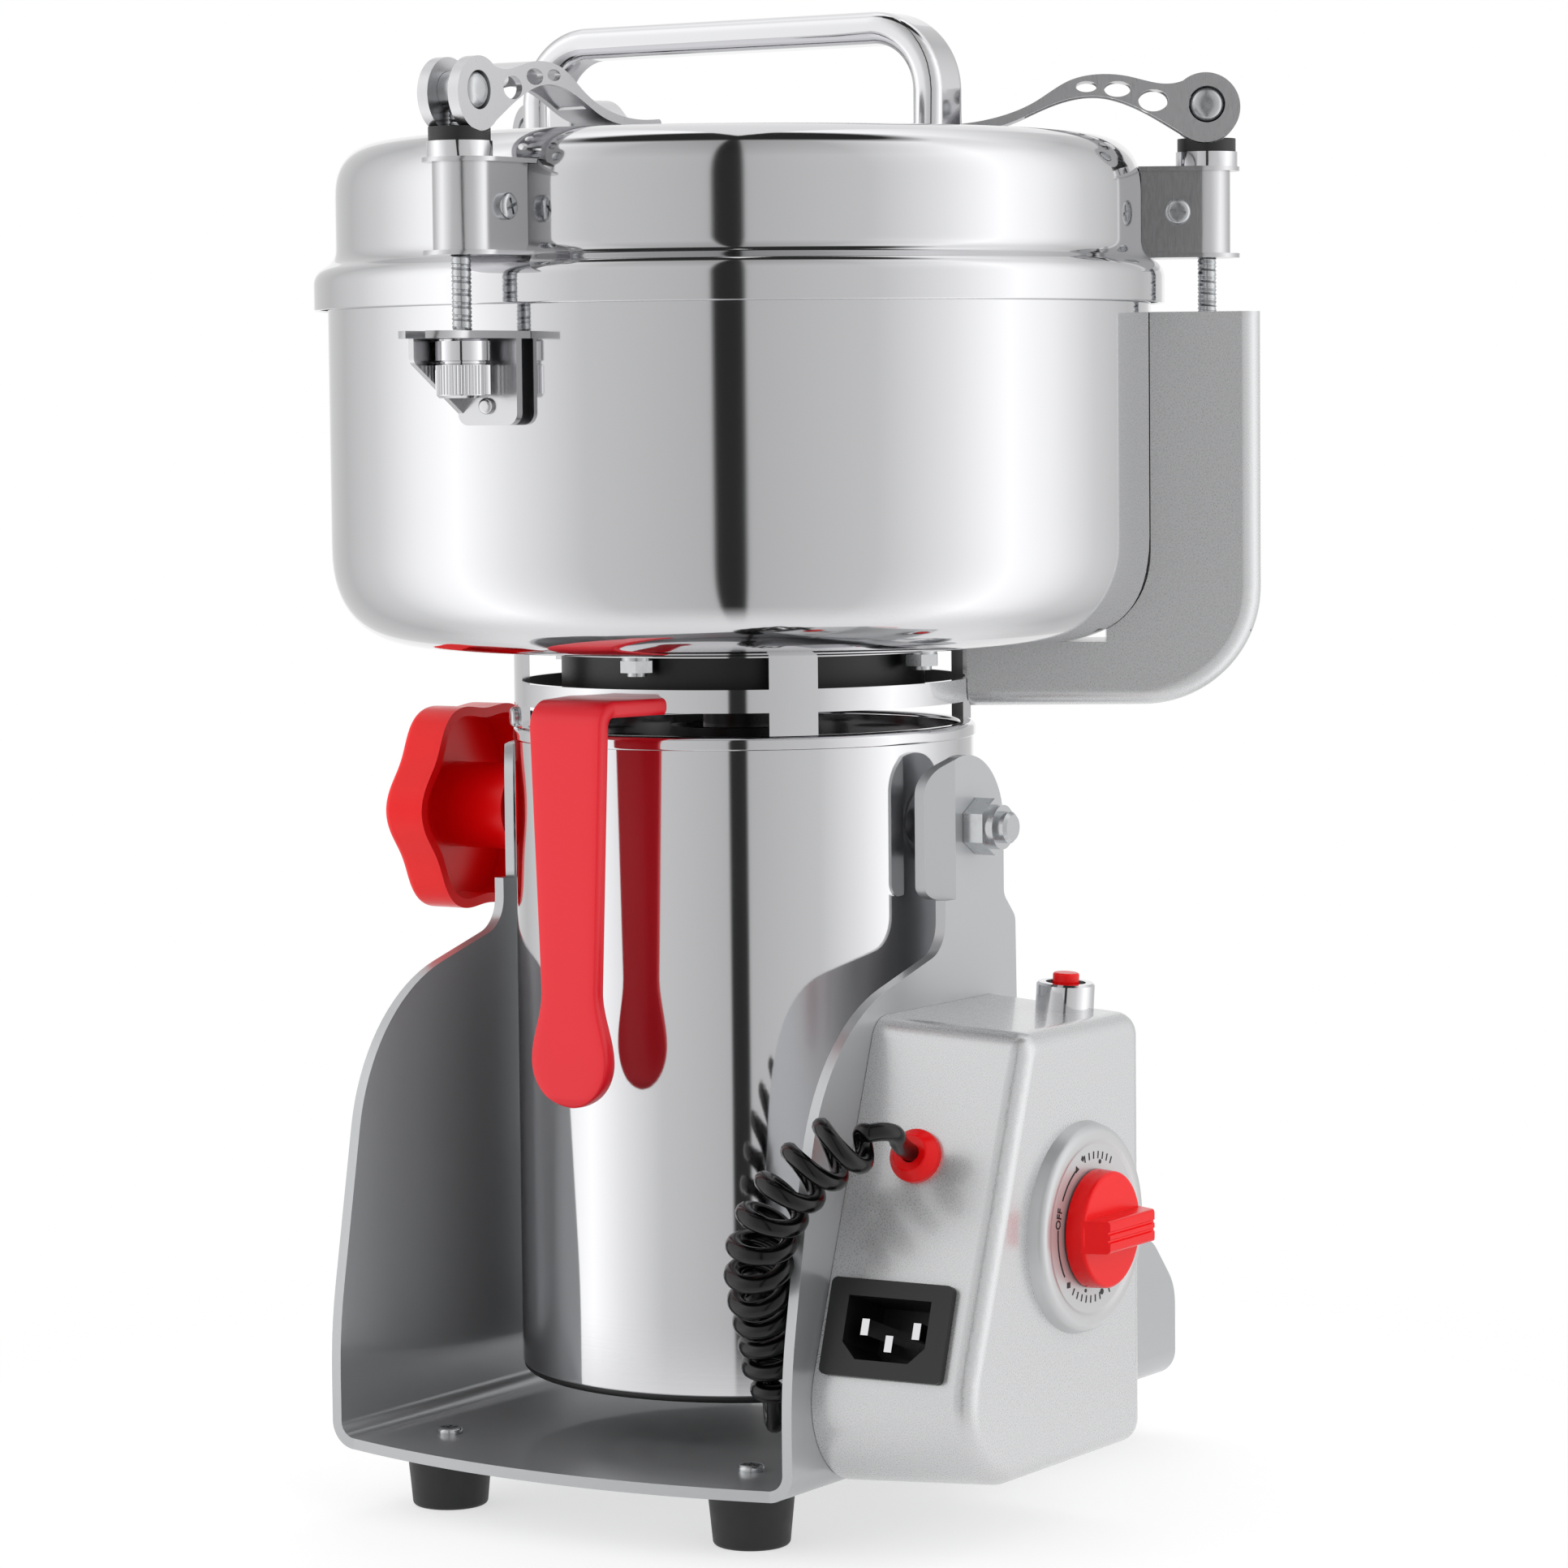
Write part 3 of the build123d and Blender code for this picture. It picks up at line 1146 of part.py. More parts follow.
def clamp_saddles():
    """Black saddles, hollowed for the cams."""
    saddle = tube(SADDLE_R, BOLT_R + BOLT_PLAY, SADDLE_Z, SADDLE_Z + SADDLE_H, 0, -CLAMP_R)
    saddle -= Pos(0, -CAM_U, CAM_Z) * Rot(0, 90, 0) * Cylinder(CAM_R + 0.3, 40)
    return group([at_angle(saddle, angle) for angle in CLAMP_ANGLES.values()])


def clamp_bolt(angle):
    """Threaded bolt with the cross pin that its lever turns on."""
    pin = Pos(0, -CLAMP_R, PIN_Z) * Rot(0, 90, 0) * Cylinder(CAM_PIN_R, 2 * PIN_HALF)
    pin = fillet(pin.edges(), 0.9)
    return at_angle(pin + rod(BOLT_R, BOLT_END, PIN_Z, 0, -CLAMP_R), angle)


def lever_curve(points):
    """A spline over lever points, each given inward and up from the cam's centre."""
    return Spline(*[(-CAM_U + inward, CAM_Z + up) for inward, up in points])


def cam_lever(angle):
    """Stamped lever with two cam cheeks, three holes in each flank and a flat tail."""
    plane = Plane(origin=(-LEVER_HALF, 0, 0), x_dir=(0, 1, 0), z_dir=(1, 0, 0))
    upper, lower = lever_curve(LEVER_UPPER), lever_curve(LEVER_LOWER)
    tip = (-CAM_U + LEVER_TAIL[0], CAM_Z + LEVER_TAIL[1])
    tail = ThreePointArc(upper @ 1, tip, lower @ 0)
    root = Line(lower @ 1, upper @ 0)
    arm = extrude(plane * make_face(upper + tail + lower + root), 2 * LEVER_HALF)
    inside = LEVER_HALF - LEVER_SHEET
    pan = Pos(0, 0, -LEVER_SHEET) * arm
    pan &= block((-inside, inside), (-CAM_U, -CAM_U + LEVER_PAN), (0, FAR))
    discs = Pos(0, -CAM_U, CAM_Z) * Rot(0, 90, 0) * Cylinder(CAM_R, 2 * LEVER_HALF)
    lever = arm + discs - pan
    slot = BOLT_R + 0.5
    lever -= block((-slot, slot), (-CLAMP_R - 12, -CLAMP_R + 9.5), (0, FAR))
    lever -= Pos(0, -CLAMP_R, PIN_Z) * Rot(0, 90, 0) * Cylinder(CAM_PIN_R + RUN, 40)
    for inward, up, wide, high in LEVER_HOLES:
        hole_plane = Plane(
            origin=(-20, -CAM_U + inward, CAM_Z + up), x_dir=(0, 1, 0), z_dir=(1, 0, 0)
        )
        lever -= extrude(hole_plane * Ellipse(wide, high), 40)
    return at_angle(lever, angle)


def lower_angles():
    """Where the bowl has a lower bracket."""
    return [CLAMP_ANGLES["front"], CLAMP_ANGLES["left"]]


def rivet_place():
    """On the back of the front lower bracket, facing outwards."""
    return Pos(0, -BOWL_R - LOWER_BACK, LOWER_Z - LOWER_H + RIVET_UP) * Rot(90, 0, 0)


def rivet_shank():
    """The rivet's hole through the bracket and the bowl."""
    return rivet_place() * Cylinder(RIVET_R, 20)


def lower_bracket():
    """Oval slotted plate over a flat back, with a wing on one side, fixed to the bowl."""
    out, root, back_out = CLAMP_R + LOWER_REACH, -BOWL_R + 4, BOWL_R + LOWER_BACK
    under, foot = LOWER_Z - LOWER_PLATE, LOWER_Z - LOWER_H
    nose = -out + LOWER_HALF
    oval = Pos(0, nose, 0) * Circle(LOWER_HALF)
    oval += Pos(0, (nose + root) / 2, 0) * Rectangle(2 * LOWER_HALF, root - nose)
    body = extrude(Plane.XY.offset(under) * oval, LOWER_PLATE)
    plane = Plane(origin=(0, -back_out + LOWER_SHEET, 0), x_dir=(1, 0, 0), z_dir=(0, -1, 0))
    back = rounded([
        (-LOWER_BACK_HALF, foot, 3), (LOWER_BACK_HALF, foot, 3), (LOWER_BACK_HALF, under),
        (-LOWER_BACK_HALF, under),
    ])
    body += extrude(plane * back, LOWER_SHEET)
    body += block((-LOWER_PAD, LOWER_PAD), (-back_out + 1, root), (foot + 1, under))
    wing_out = CLAMP_R + LOWER_WING_OUT
    wing = prism_v([
        (back_out - 1, under + 1), (wing_out, under + 1), (wing_out, under - LOWER_WING_H, 2),
        (back_out - 0.5, foot + 2.6), (back_out - 1, foot + 2.6),
    ], LOWER_BACK_HALF)
    beside = (-LOWER_BACK_HALF, -LOWER_BACK_HALF + LOWER_WING)
    body += wing & block(beside, (-FAR, FAR), (0, FAR))
    body -= bowl_clearance()
    slot = rod(BOLT_R + 0.4, 0, FAR, 0, -CLAMP_R)
    slot += block((-BOLT_R - 0.4, BOLT_R + 0.4), (-out - 5, -CLAMP_R), (LOWER_Z - 5, LOWER_Z + 5))
    return body - slot - rivet_shank()


def lower_brackets():
    """The two lower brackets, each with its rivet."""
    pieces = []
    rivet = rivet_place() * (pan_head(RIVET_HEAD_R, 1.5) + Pos(0, 0, -3.4) * Cylinder(RIVET_R, 7))
    for angle in lower_angles():
        pieces.append(at_angle(lower_bracket(), angle))
        pieces.append(at_angle(rivet, angle))
    return group(pieces)


def knurled_nut(angle):
    """Tall nut, its lower part knurled."""
    low = NUT_TOP - NUT_H
    nut = tube(NUT_R, BOLT_R + RUN, low, NUT_TOP, 0, -CLAMP_R)
    circle = NUT_R + KNURL_R / 3
    for k in range(KNURLS):
        turn = radians(360 * k / KNURLS)
        x, y = circle * sin(turn), -CLAMP_R + circle * cos(turn)
        nut -= rod(KNURL_R, low - 1, NUT_TOP - NUT_COLLAR, x, y)
    return at_angle(nut, angle)


# ---------------------------------------------------------------- pivots
def pivot_bolt():
    """M8 bolt fixed in the right boss."""
    bolt = rod_x(PIVOT_R, HOUSING_IN - 6, CHEEK_OUT + 11, 0, PIVOT_Z)
    return chamfer(bolt.edges().group_by(Axis.X)[-1], 0.8)


def pivot_nut():
    """Lock nut with a round collar, and the washer under it."""
    low = CHEEK_OUT + GAP
    place = Plane(origin=(low, 0, PIVOT_Z), x_dir=(0, 0, 1), z_dir=(1, 0, 0))
    nut = extrude(place * RegularPolygon(7.2, 6), 5.6) + rod_x(5.6, low, low + 8, 0, PIVOT_Z)
    return nut - rod_x(PIVOT_R, low - 1, low + 12, 0, PIVOT_Z)


def lobed(radius, dip):
    """A round with the knob's lobes."""
    points = []
    for k in range(72):
        angle = radians(5 * k)
        r = radius - dip * (0.5 + 0.5 * cos(STAR_LOBES * angle))
        points.append((r * sin(angle), r * cos(angle)))
    return make_face(Spline(*points, periodic=True))


def star_knob():
    """Six-lobed red knob, hollow behind, with a hub."""
    place = Plane(origin=(-STAR_OUT, 0, PIVOT_Z), x_dir=(0, 1, 0), z_dir=(1, 0, 0))
    body = extrude(place * lobed(STAR_R, STAR_DIP), STAR_T)
    body = fillet(body.edges().group_by(Axis.X)[0], STAR_EDGE)
    place = Plane(origin=(-STAR_OUT + STAR_WALL, 0, PIVOT_Z), x_dir=(0, 1, 0), z_dir=(1, 0, 0))
    body -= extrude(place * lobed(STAR_R - STAR_WALL, STAR_DIP), STAR_T)
    body += rod_x(STAR_HUB_R, -STAR_OUT + 1, -CHEEK_OUT - 0.3, 0, PIVOT_Z)
    return body - rod_x(PIVOT_R, -STAR_OUT + 6, -CHEEK_OUT + 1, 0, PIVOT_Z)


def star_stud():
    """M8 stud moulded into the knob, threaded into the left boss."""
    stud = rod_x(PIVOT_R - RUN, -CHEEK_OUT, -HOUSING_IN + 6, 0, PIVOT_Z)
    return stud + rod_x(PIVOT_R, -STAR_OUT + 6, -CHEEK_OUT, 0, PIVOT_Z)


# ---------------------------------------------------------------- every node
def nodes():
    """Every node's name and the function that makes it."""
    made = {
        f.__name__: f
        for f in (
            base_frame, rubber_feet, frame_screws, control_box, inlet_body, inlet_pins, box_grommet,
            timer_body, dial_plate, timer_knob, overload_body, overload_nut, reset_button,
            coiled_cord, cord_leads, star_knob, star_stud, motor_housing, housing_rim,
            bottom_cap, stator_core, stator_coils, brush_holders, bearing_plates, bearings,
            insulator_disc, neck_ring, neck_bolts, bowl, shaft_seal, handle_lever, switch_arm,
            arm_cap, lid_switch, lower_brackets, pivot_bolt, pivot_nut, housing_grommet,
            rotor_core, motor_shaft, commutator, grinding_blades, blade_spacers, blade_nut,
            lid, lid_seal, lid_handle, lid_screws, clamp_brackets, clamp_collars, clamp_saddles,
        )
    }
    for side, angle in CLAMP_ANGLES.items():
        made[f"clamp_bolt_{side}"] = lambda angle=angle: clamp_bolt(angle)
        made[f"clamp_lever_{side}"] = lambda angle=angle: cam_lever(angle)
        if angle in lower_angles():
            made[f"knurled_nut_{side}"] = lambda angle=angle: knurled_nut(angle)
    return made


if __name__ == "__main__":
    os.makedirs("parts", exist_ok=True)
    for name, make in nodes().items():
        export_step(make(), f"parts/{name}.step")
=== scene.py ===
"""Looks of the electric grain mill, on its fixed frame: finishes, cord, threads, knurls, screws, dial."""

import json
from math import cos, degrees, log, pi, radians, sin, tan

import bmesh
import bpy
from mathutils import Matrix, Vector


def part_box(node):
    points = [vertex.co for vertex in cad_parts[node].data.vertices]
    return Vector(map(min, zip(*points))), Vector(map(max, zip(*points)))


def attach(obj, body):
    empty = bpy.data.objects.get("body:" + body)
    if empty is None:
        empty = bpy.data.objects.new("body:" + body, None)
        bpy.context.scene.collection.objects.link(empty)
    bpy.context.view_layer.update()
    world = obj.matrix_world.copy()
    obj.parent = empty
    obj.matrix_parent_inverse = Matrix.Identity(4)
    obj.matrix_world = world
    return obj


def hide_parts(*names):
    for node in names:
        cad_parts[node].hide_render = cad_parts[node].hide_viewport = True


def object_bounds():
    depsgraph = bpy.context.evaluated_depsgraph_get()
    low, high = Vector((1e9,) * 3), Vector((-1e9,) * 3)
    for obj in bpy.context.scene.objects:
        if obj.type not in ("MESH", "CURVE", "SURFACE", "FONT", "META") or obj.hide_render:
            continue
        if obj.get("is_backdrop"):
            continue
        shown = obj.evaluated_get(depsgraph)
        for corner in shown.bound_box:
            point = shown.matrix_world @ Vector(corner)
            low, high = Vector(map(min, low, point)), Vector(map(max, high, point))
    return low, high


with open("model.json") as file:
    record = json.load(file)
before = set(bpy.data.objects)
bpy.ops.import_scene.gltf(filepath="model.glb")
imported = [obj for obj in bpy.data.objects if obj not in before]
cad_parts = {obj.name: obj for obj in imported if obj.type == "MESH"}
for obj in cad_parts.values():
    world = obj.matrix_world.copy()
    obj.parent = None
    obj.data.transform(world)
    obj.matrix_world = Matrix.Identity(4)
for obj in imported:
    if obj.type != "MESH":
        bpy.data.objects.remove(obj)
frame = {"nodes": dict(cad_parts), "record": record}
cad_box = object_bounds()
MM = 0.001

# ---------------------------------------------------------------- places and sizes
BOWL_LOW, BOWL_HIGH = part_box("bowl")
LID_LOW, LID_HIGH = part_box("lid")
RIM_LOW, RIM_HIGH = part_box("housing_rim")
HOUSING_LOW, HOUSING_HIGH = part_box("motor_housing")
DIAL_LOW, DIAL_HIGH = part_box("dial_plate")
KNOB_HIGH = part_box("timer_knob")[1]
BRACKET_LOW, BRACKET_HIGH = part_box("clamp_brackets")

BOWL_R, BOWL_WALL, BOWL_CORNER, BOWL_LIP = 105.7 * MM, 1.2 * MM, 22.0 * MM, 2.2 * MM
LID_R, LID_WALL, LID_CORNER = 103.4 * MM, 1.1 * MM, 12.0 * MM
SKIRT_R, SKIRT_H = 109.2 * MM, 8.8 * MM
HOUSING_R, HOUSING_WALL, RIM_PROUD, RIM_LIP = 59.4 * MM, 1.2 * MM, 0.6 * MM, 2.4 * MM
BOSS_R, PIVOT_Z = 9.5 * MM, 172.5 * MM
CLAMP_ANGLES = {"front": 0.0, "right": 120.0, "left": 240.0}
CLAMP_R = BOWL_R + 14.3 * MM
BOLT_R, THREAD_PITCH, THREAD_DEEP = 2.5 * MM, 1.0 * MM, 0.5 * MM
PIN_R, PIN_HALF = 4.6 * MM, 6.5 * MM
NUT_R, NUT_COLLAR, KNURLS = 6.6 * MM, 5.6 * MM, 44
BRACKET_HALF, BRACKET_SCREW_R = 7.6 * MM, CLAMP_R - 7.6 * MM
CHEEK_IN, PLATE_T = 66.8 * MM, 2.8 * MM
FOOT_PLACES = [(x * MM, y * MM) for x in (-46.0, 46.0) for y in (-70.0, 80.0)]
BOX_SCREWS = [
    (-37.1 * MM, 113.3 * MM), (5.5 * MM, 113.3 * MM), (-64.0 * MM, 28.5 * MM), (5.5 * MM, 28.5 * MM)]
DIAL_Y, DIAL_Z = -22.0 * MM, 77.0 * MM
KNOB_R, KNOB_T, BAR_HALF, BAR_TAPER = 14.6 * MM, 4.8 * MM, 4.0 * MM, 3.0 * MM

# ---------------------------------------------------------------- nodes and materials


def linear(code):
    """A colour written as six sRGB hex digits, as linear RGBA."""
    parts = [int(code[i:i + 2], 16) / 255 for i in (0, 2, 4)]
    return tuple(p / 12.92 if p <= 0.04045 else ((p + 0.055) / 1.055) ** 2.4 for p in parts) + (1.0,)


def add(tree, kind, inputs=None, **settings):
    """Adds a node; an input is a plain value or another node's output."""
    made = tree.nodes.new(kind)
    for name, value in settings.items():
        setattr(made, name, value)
    for name, value in (inputs or {}).items():
        if isinstance(value, bpy.types.NodeSocket):
            tree.links.new(value, made.inputs[name])
        else:
            made.inputs[name].default_value = value
    return made


def new_material(name, **values):
    """A material with one Principled shader; values are its sockets, with _ for a space."""
    material = bpy.data.materials.new(name)
    material.use_nodes = True
    shader = material.node_tree.nodes["Principled BSDF"]
    for socket, value in values.items():
        shader.inputs[SOCKETS[socket]].default_value = value
    return material, material.node_tree, shader


SOCKETS = {
    "color": "Base Color", "metallic": "Metallic", "roughness": "Roughness", "ior": "IOR",
    "coat": "Coat Weight", "coat_roughness": "Coat Roughness", "specular": "Specular IOR Level",
    "anisotropic": "Anisotropic",
}


def place_in_mm(tree, stretch=(1, 1, 1)):
    """Object coordinates in millimetres, stretched along the axes."""
    coords = add(tree, "ShaderNodeTexCoord")
    scale = tuple(s / MM for s in stretch)
    mapping = add(tree, "ShaderNodeMapping", {"Vector": coords.outputs["Object"], "Scale": scale})
    return mapping.outputs["Vector"]


def vary(tree, shader, socket, texture, low, high):
    """Lets a texture move a socket between two values."""
    spread = add(tree, "ShaderNodeMapRange", {"Value": texture, "To Min": low, "To Max": high})
    tree.links.new(spread.outputs["Result"], shader.inputs[socket])


def bump(tree, shader, height, depth, strength=1.0):
    """Raises the surface by a height of that depth in metres."""
    made = add(tree, "ShaderNodeBump", {"Height": height, "Distance": depth, "Strength": strength})
    tree.links.new(made.outputs["Normal"], shader.inputs["Normal"])


def polished_steel():
    """Stainless sheet, spun and buffed: a near mirror, with faint turning lines and cloudy polish."""
    material, tree, shader = new_material("polished stainless steel", color=linear("D6D6D8"), metallic=1.0)
    cloud = add(tree, "ShaderNodeTexNoise", {"Vector": place_in_mm(tree), "Scale": 0.02, "Detail": 3.0})
    vary(tree, shader, "Roughness", cloud.outputs["Fac"], 0.045, 0.085)
    lines = add(tree, "ShaderNodeTexNoise", {
        "Vector": place_in_mm(tree, (0.004, 0.004, 1.4)), "Scale": 1.0, "Detail": 4.0})
    bump(tree, shader, lines.outputs["Fac"], 0.004 * MM, 0.5)
    return material


def ring_steel():
    """Polished ring whose inner faces are coloured near black: painted shade for the dark inside of the neck.
    """
    material, tree, shader = new_material("ring, painted shade inside", roughness=0.06)
    coords = add(tree, "ShaderNodeTexCoord")
    out = add(tree, "ShaderNodeVectorMath", {0: coords.outputs["Object"], 1: (1, 1, 0)}, operation="MULTIPLY")
    facing = add(tree, "ShaderNodeVectorMath", {
        0: out.outputs[0], 1: coords.outputs["Normal"]}, operation="DOT_PRODUCT")
    outside = add(tree, "ShaderNodeMath", {0: facing.outputs["Value"], 1: -20 * MM}, operation="GREATER_THAN")
    # faces turned towards the axis get a near-black colour, painted shade for the shadowed inside of the
    # neck; outer faces stay polished steel
    color = add(tree, "ShaderNodeMix", {
        "Factor": outside.outputs[0], "A": linear("121213"), "B": linear("D6D6D8")}, data_type="RGBA")
    tree.links.new(color.outputs["Result"], shader.inputs["Base Color"])
    tree.links.new(outside.outputs[0], shader.inputs["Metallic"])
    vary(tree, shader, "Roughness", outside.outputs[0], 0.5, 0.06)
    return material


def brushed_steel(name="brushed stainless steel", rough=(0.2, 0.42)):
    """Stainless strip with the mill's straight grain left on it, streaked along its length."""
    material, tree, shader = new_material(name, color=linear("CDCDCF"), metallic=1.0)
    grain = add(tree, "ShaderNodeTexNoise", {
        "Vector": place_in_mm(tree, (6.0, 6.0, 0.35)), "Scale": 1.0, "Detail": 5.0})
    vary(tree, shader, "Roughness", grain.outputs["Fac"], *rough)
    bump(tree, shader, grain.outputs["Fac"], 0.03 * MM, rough[0])
    return material


def chrome_plate():
    """Bright chrome on a turned or bent piece: the clearest mirror on the mill."""
    material, tree, shader = new_material("chrome plate", color=linear("DCDCDE"), metallic=1.0)
    cloud = add(tree, "ShaderNodeTexNoise", {"Vector": place_in_mm(tree), "Scale": 0.05, "Detail": 2.0})
    vary(tree, shader, "Roughness", cloud.outputs["Fac"], 0.05, 0.12)
    return material


def zinc_plate():
    """Zinc on screws and nuts: a slightly cloudy, cool grey shine."""
    material, tree, shader = new_material("zinc plate", color=linear("C4C6C8"), metallic=1.0)
    cloud = add(tree, "ShaderNodeTexNoise", {"Vector": place_in_mm(tree), "Scale": 0.6, "Detail": 4.0})
    vary(tree, shader, "Roughness", cloud.outputs["Fac"], 0.16, 0.34)
    return material


def silver_paint(name="silver enamel", code="D4D5D6", rough=(0.24, 0.32)):
    """Silver baking enamel: pale grey with fine flake under a smooth coat, and a trace of orange peel."""
    material, tree, shader = new_material(
        name, color=linear(code), metallic=0.6, coat=0.5, coat_roughness=0.06)
    flake = add(tree, "ShaderNodeTexNoise", {"Vector": place_in_mm(tree), "Scale": 2.2, "Detail": 3.0})
    vary(tree, shader, "Roughness", flake.outputs["Fac"], *rough)
    peel = add(tree, "ShaderNodeTexNoise", {"Vector": place_in_mm(tree), "Scale": 0.55, "Detail": 2.0})
    bump(tree, shader, peel.outputs["Fac"], 0.02 * MM, 0.4)
    return material


def red_plastic(name="red moulded plastic", code="F20308", rough=(0.2, 0.3)):
    """Moulded ABS dyed red: even colour under a soft gloss, with faint flow marks."""
    material, tree, shader = new_material(name, color=linear(code), ior=1.54, specular=0.25)
    flow = add(tree, "ShaderNodeTexNoise", {"Vector": place_in_mm(tree), "Scale": 0.12, "Detail": 3.0})
    vary(tree, shader, "Roughness", flow.outputs["Fac"], *rough)
    bump(tree, shader, flow.outputs["Fac"], 0.05 * MM, 0.3)
    return material


def red_vinyl():
    """Dipped vinyl: thick, soft and bright, with a wet-looking skin that rounds every edge."""
    material, tree, shader = new_material(
        "dipped red vinyl", color=linear("EC1628"), ior=1.5, specular=0.35, coat=0.15, coat_roughness=0.2)
    skin = add(tree, "ShaderNodeTexNoise", {"Vector": place_in_mm(tree), "Scale": 0.06, "Detail": 2.0})
    vary(tree, shader, "Roughness", skin.outputs["Fac"], 0.28, 0.38)
    bump(tree, shader, skin.outputs["Fac"], 0.12 * MM, 0.35)
    return material


def black_moulding(name="black moulded nylon", code="141415", rough=(0.3, 0.5)):
    """Glass-filled nylon: black with a fine spark-eroded grain that breaks its shine."""
    material, tree, shader = new_material(name, color=linear(code), ior=1.53)
    grain = add(tree, "ShaderNodeTexNoise", {"Vector": place_in_mm(tree), "Scale": 3.0, "Detail": 2.0})
    vary(tree, shader, "Roughness", grain.outputs["Fac"], *rough)
    bump(tree, shader, grain.outputs["Fac"], 0.03 * MM, 0.35)
    return material


def black_rubber():
    """Moulded rubber: dull black with a bloom that greys it a little."""
    material, tree, shader = new_material("black rubber", color=linear("1B1B1C"), ior=1.52)
    bloom = add(tree, "ShaderNodeTexNoise", {"Vector": place_in_mm(tree), "Scale": 0.25, "Detail": 4.0})
    vary(tree, shader, "Roughness", bloom.outputs["Fac"], 0.42, 0.62)
    bump(tree, shader, bloom.outputs["Fac"], 0.05 * MM, 0.3)
    return material


def cord_sheath():
    """Soft PVC sheath: black with long, slightly wavy highlights."""
    material, tree, shader = new_material(
        "black PVC sheath", color=linear("060607"), ior=1.5, specular=0.3, coat=0.15, coat_roughness=0.08)
    skin = add(tree, "ShaderNodeTexNoise", {"Vector": place_in_mm(tree), "Scale": 0.5, "Detail": 2.0})
    vary(tree, shader, "Roughness", skin.outputs["Fac"], 0.16, 0.26)
    return material


def plain_metal(name, code, rough):
    """A metal seen only inside the mill, with a mottled shine."""
    material, tree, shader = new_material(name, color=linear(code), metallic=1.0)
    mottle = add(tree, "ShaderNodeTexNoise", {"Vector": place_in_mm(tree), "Scale": 0.8, "Detail": 4.0})
    vary(tree, shader, "Roughness", mottle.outputs["Fac"], *rough)
    return material


def laminated_iron():
    """Stacked core sheets: dark iron with the edge of every sheet showing."""
    material, tree, shader = new_material(
        "laminated iron", color=linear("5A5B5D"), metallic=1.0, roughness=0.5)
    sheets = add(tree, "ShaderNodeTexWave", {"Vector": place_in_mm(tree), "Scale": 0.31}, bands_direction="Z")
    bump(tree, shader, sheets.outputs["Fac"], 0.15 * MM, 0.6)
    return material


STEEL = polished_steel()
BRUSHED = brushed_steel()
BRIGHT = brushed_steel("bright steel strip", (0.15, 0.26))
RING = ring_steel()
CHROME = chrome_plate()
ZINC = zinc_plate()
FRAME_PAINT = silver_paint("grey frame enamel", "BABCBE", (0.26, 0.36))
PAINT = silver_paint()
DIAL_PAINT = silver_paint("dial enamel", "CBCCCD", (0.34, 0.42))
RED = red_plastic()
VINYL = red_vinyl()
NYLON = black_moulding()
RUBBER = black_rubber()
SHEATH = cord_sheath()
BRASS = plain_metal("cast brass", "B08D4C", (0.3, 0.45))
COPPER = plain_metal("enamelled copper wire", "8A4A26", (0.25, 0.4))
IRON = laminated_iron()
INK = black_moulding("black printing ink", "17181A", (0.45, 0.55))

FINISHES = {
    "frame_paint": FRAME_PAINT, "box_paint": PAINT, "polished_steel": STEEL, "brushed_steel": BRUSHED,
    "chrome_plate": CHROME, "zinc_screw": ZINC, "red_plastic": RED, "black_plastic": NYLON,
    "black_rubber": RUBBER, "cord_sheath": SHEATH, "dial_grey": DIAL_PAINT, "brass": BRASS,
    "copper_wire": COPPER, "iron_stack": IRON, "seal_rubber": RUBBER,
}
OWN_FINISH = {"clamp_brackets": BRIGHT, "lower_brackets": BRIGHT, "neck_ring": RING}


def smooth_faces(piece):
    """Lets the flat faces keep straight reflections beside their rounded edges."""
    modifier = piece.modifiers.new("shading", "WEIGHTED_NORMAL")
    modifier.keep_sharp = True


def dress_frame():
    """Gives every CAD node its finish, and rounds the shading of its faces."""
    slots = {s["node"]: s["material_slot"] for s in frame["record"]["subparts"]}
    for name, node in frame["nodes"].items():
        node.data.materials.clear()
        node.data.materials.append(OWN_FINISH.get(name, FINISHES[slots[name]]))
        for face in node.data.polygons:
            face.use_smooth = True
            face.material_index = 0
        weld = node.modifiers.new("weld", "WELD")
        weld.merge_threshold = 0.005 * MM
        split = node.modifiers.new("edges", "EDGE_SPLIT")
        split.split_angle = radians(28)
        smooth_faces(node)


dress_frame()


# ---------------------------------------------------------------- forms
def rounded_path(corners, step=9):
    """Corners (a, b) or (a, b, radius) as plain points; a corner bends in gently, as a pressed one does."""
    path = []
    for k, corner in enumerate(corners):
        here = Vector(corner[:2])
        if len(corner) == 2:
            path.append(here)
            continue
        before = (Vector(corners[k - 1][:2]) - here).normalized()
        after = (Vector(corners[(k + 1) % len(corners)][:2]) - here).normalized()
        turn = pi - before.angle(after)
        reach = SOFT_REACH * corner[2] * tan(turn / 2)
        count = max(3, round(degrees(turn) / step))
        for i in range(count + 1):
            share = pi / 2 * i / count
            path.append(here + before * reach * (1 - sin(share) ** SOFT_BEND)
                        + after * reach * (1 - cos(share) ** SOFT_BEND))
    return path


SOFT_REACH, SOFT_BEND = 1.2, 0.8      # a round corner would be 1.0 and 1.0


def turned(outline, steps=180, step=9):
    """A closed (radius, height) outline turned about Z."""
    form = bmesh.new()
    path = rounded_path(outline, step)
    rings = []
    for k in range(steps):
        angle = 2 * pi * k / steps
        rings.append([form.verts.new((p.x * cos(angle), p.x * sin(angle), p.y)) for p in path])
    for k, ring in enumerate(rings):
        beside = rings[(k + 1) % steps]
        for i in range(len(path)):
            j = (i + 1) % len(path)
            if max(path[i].x, path[j].x) > 0:
                form.faces.new((ring[i], ring[j], beside[j], beside[i]))
    bmesh.ops.remove_doubles(form, verts=form.verts, dist=0.002 * MM)
    return form


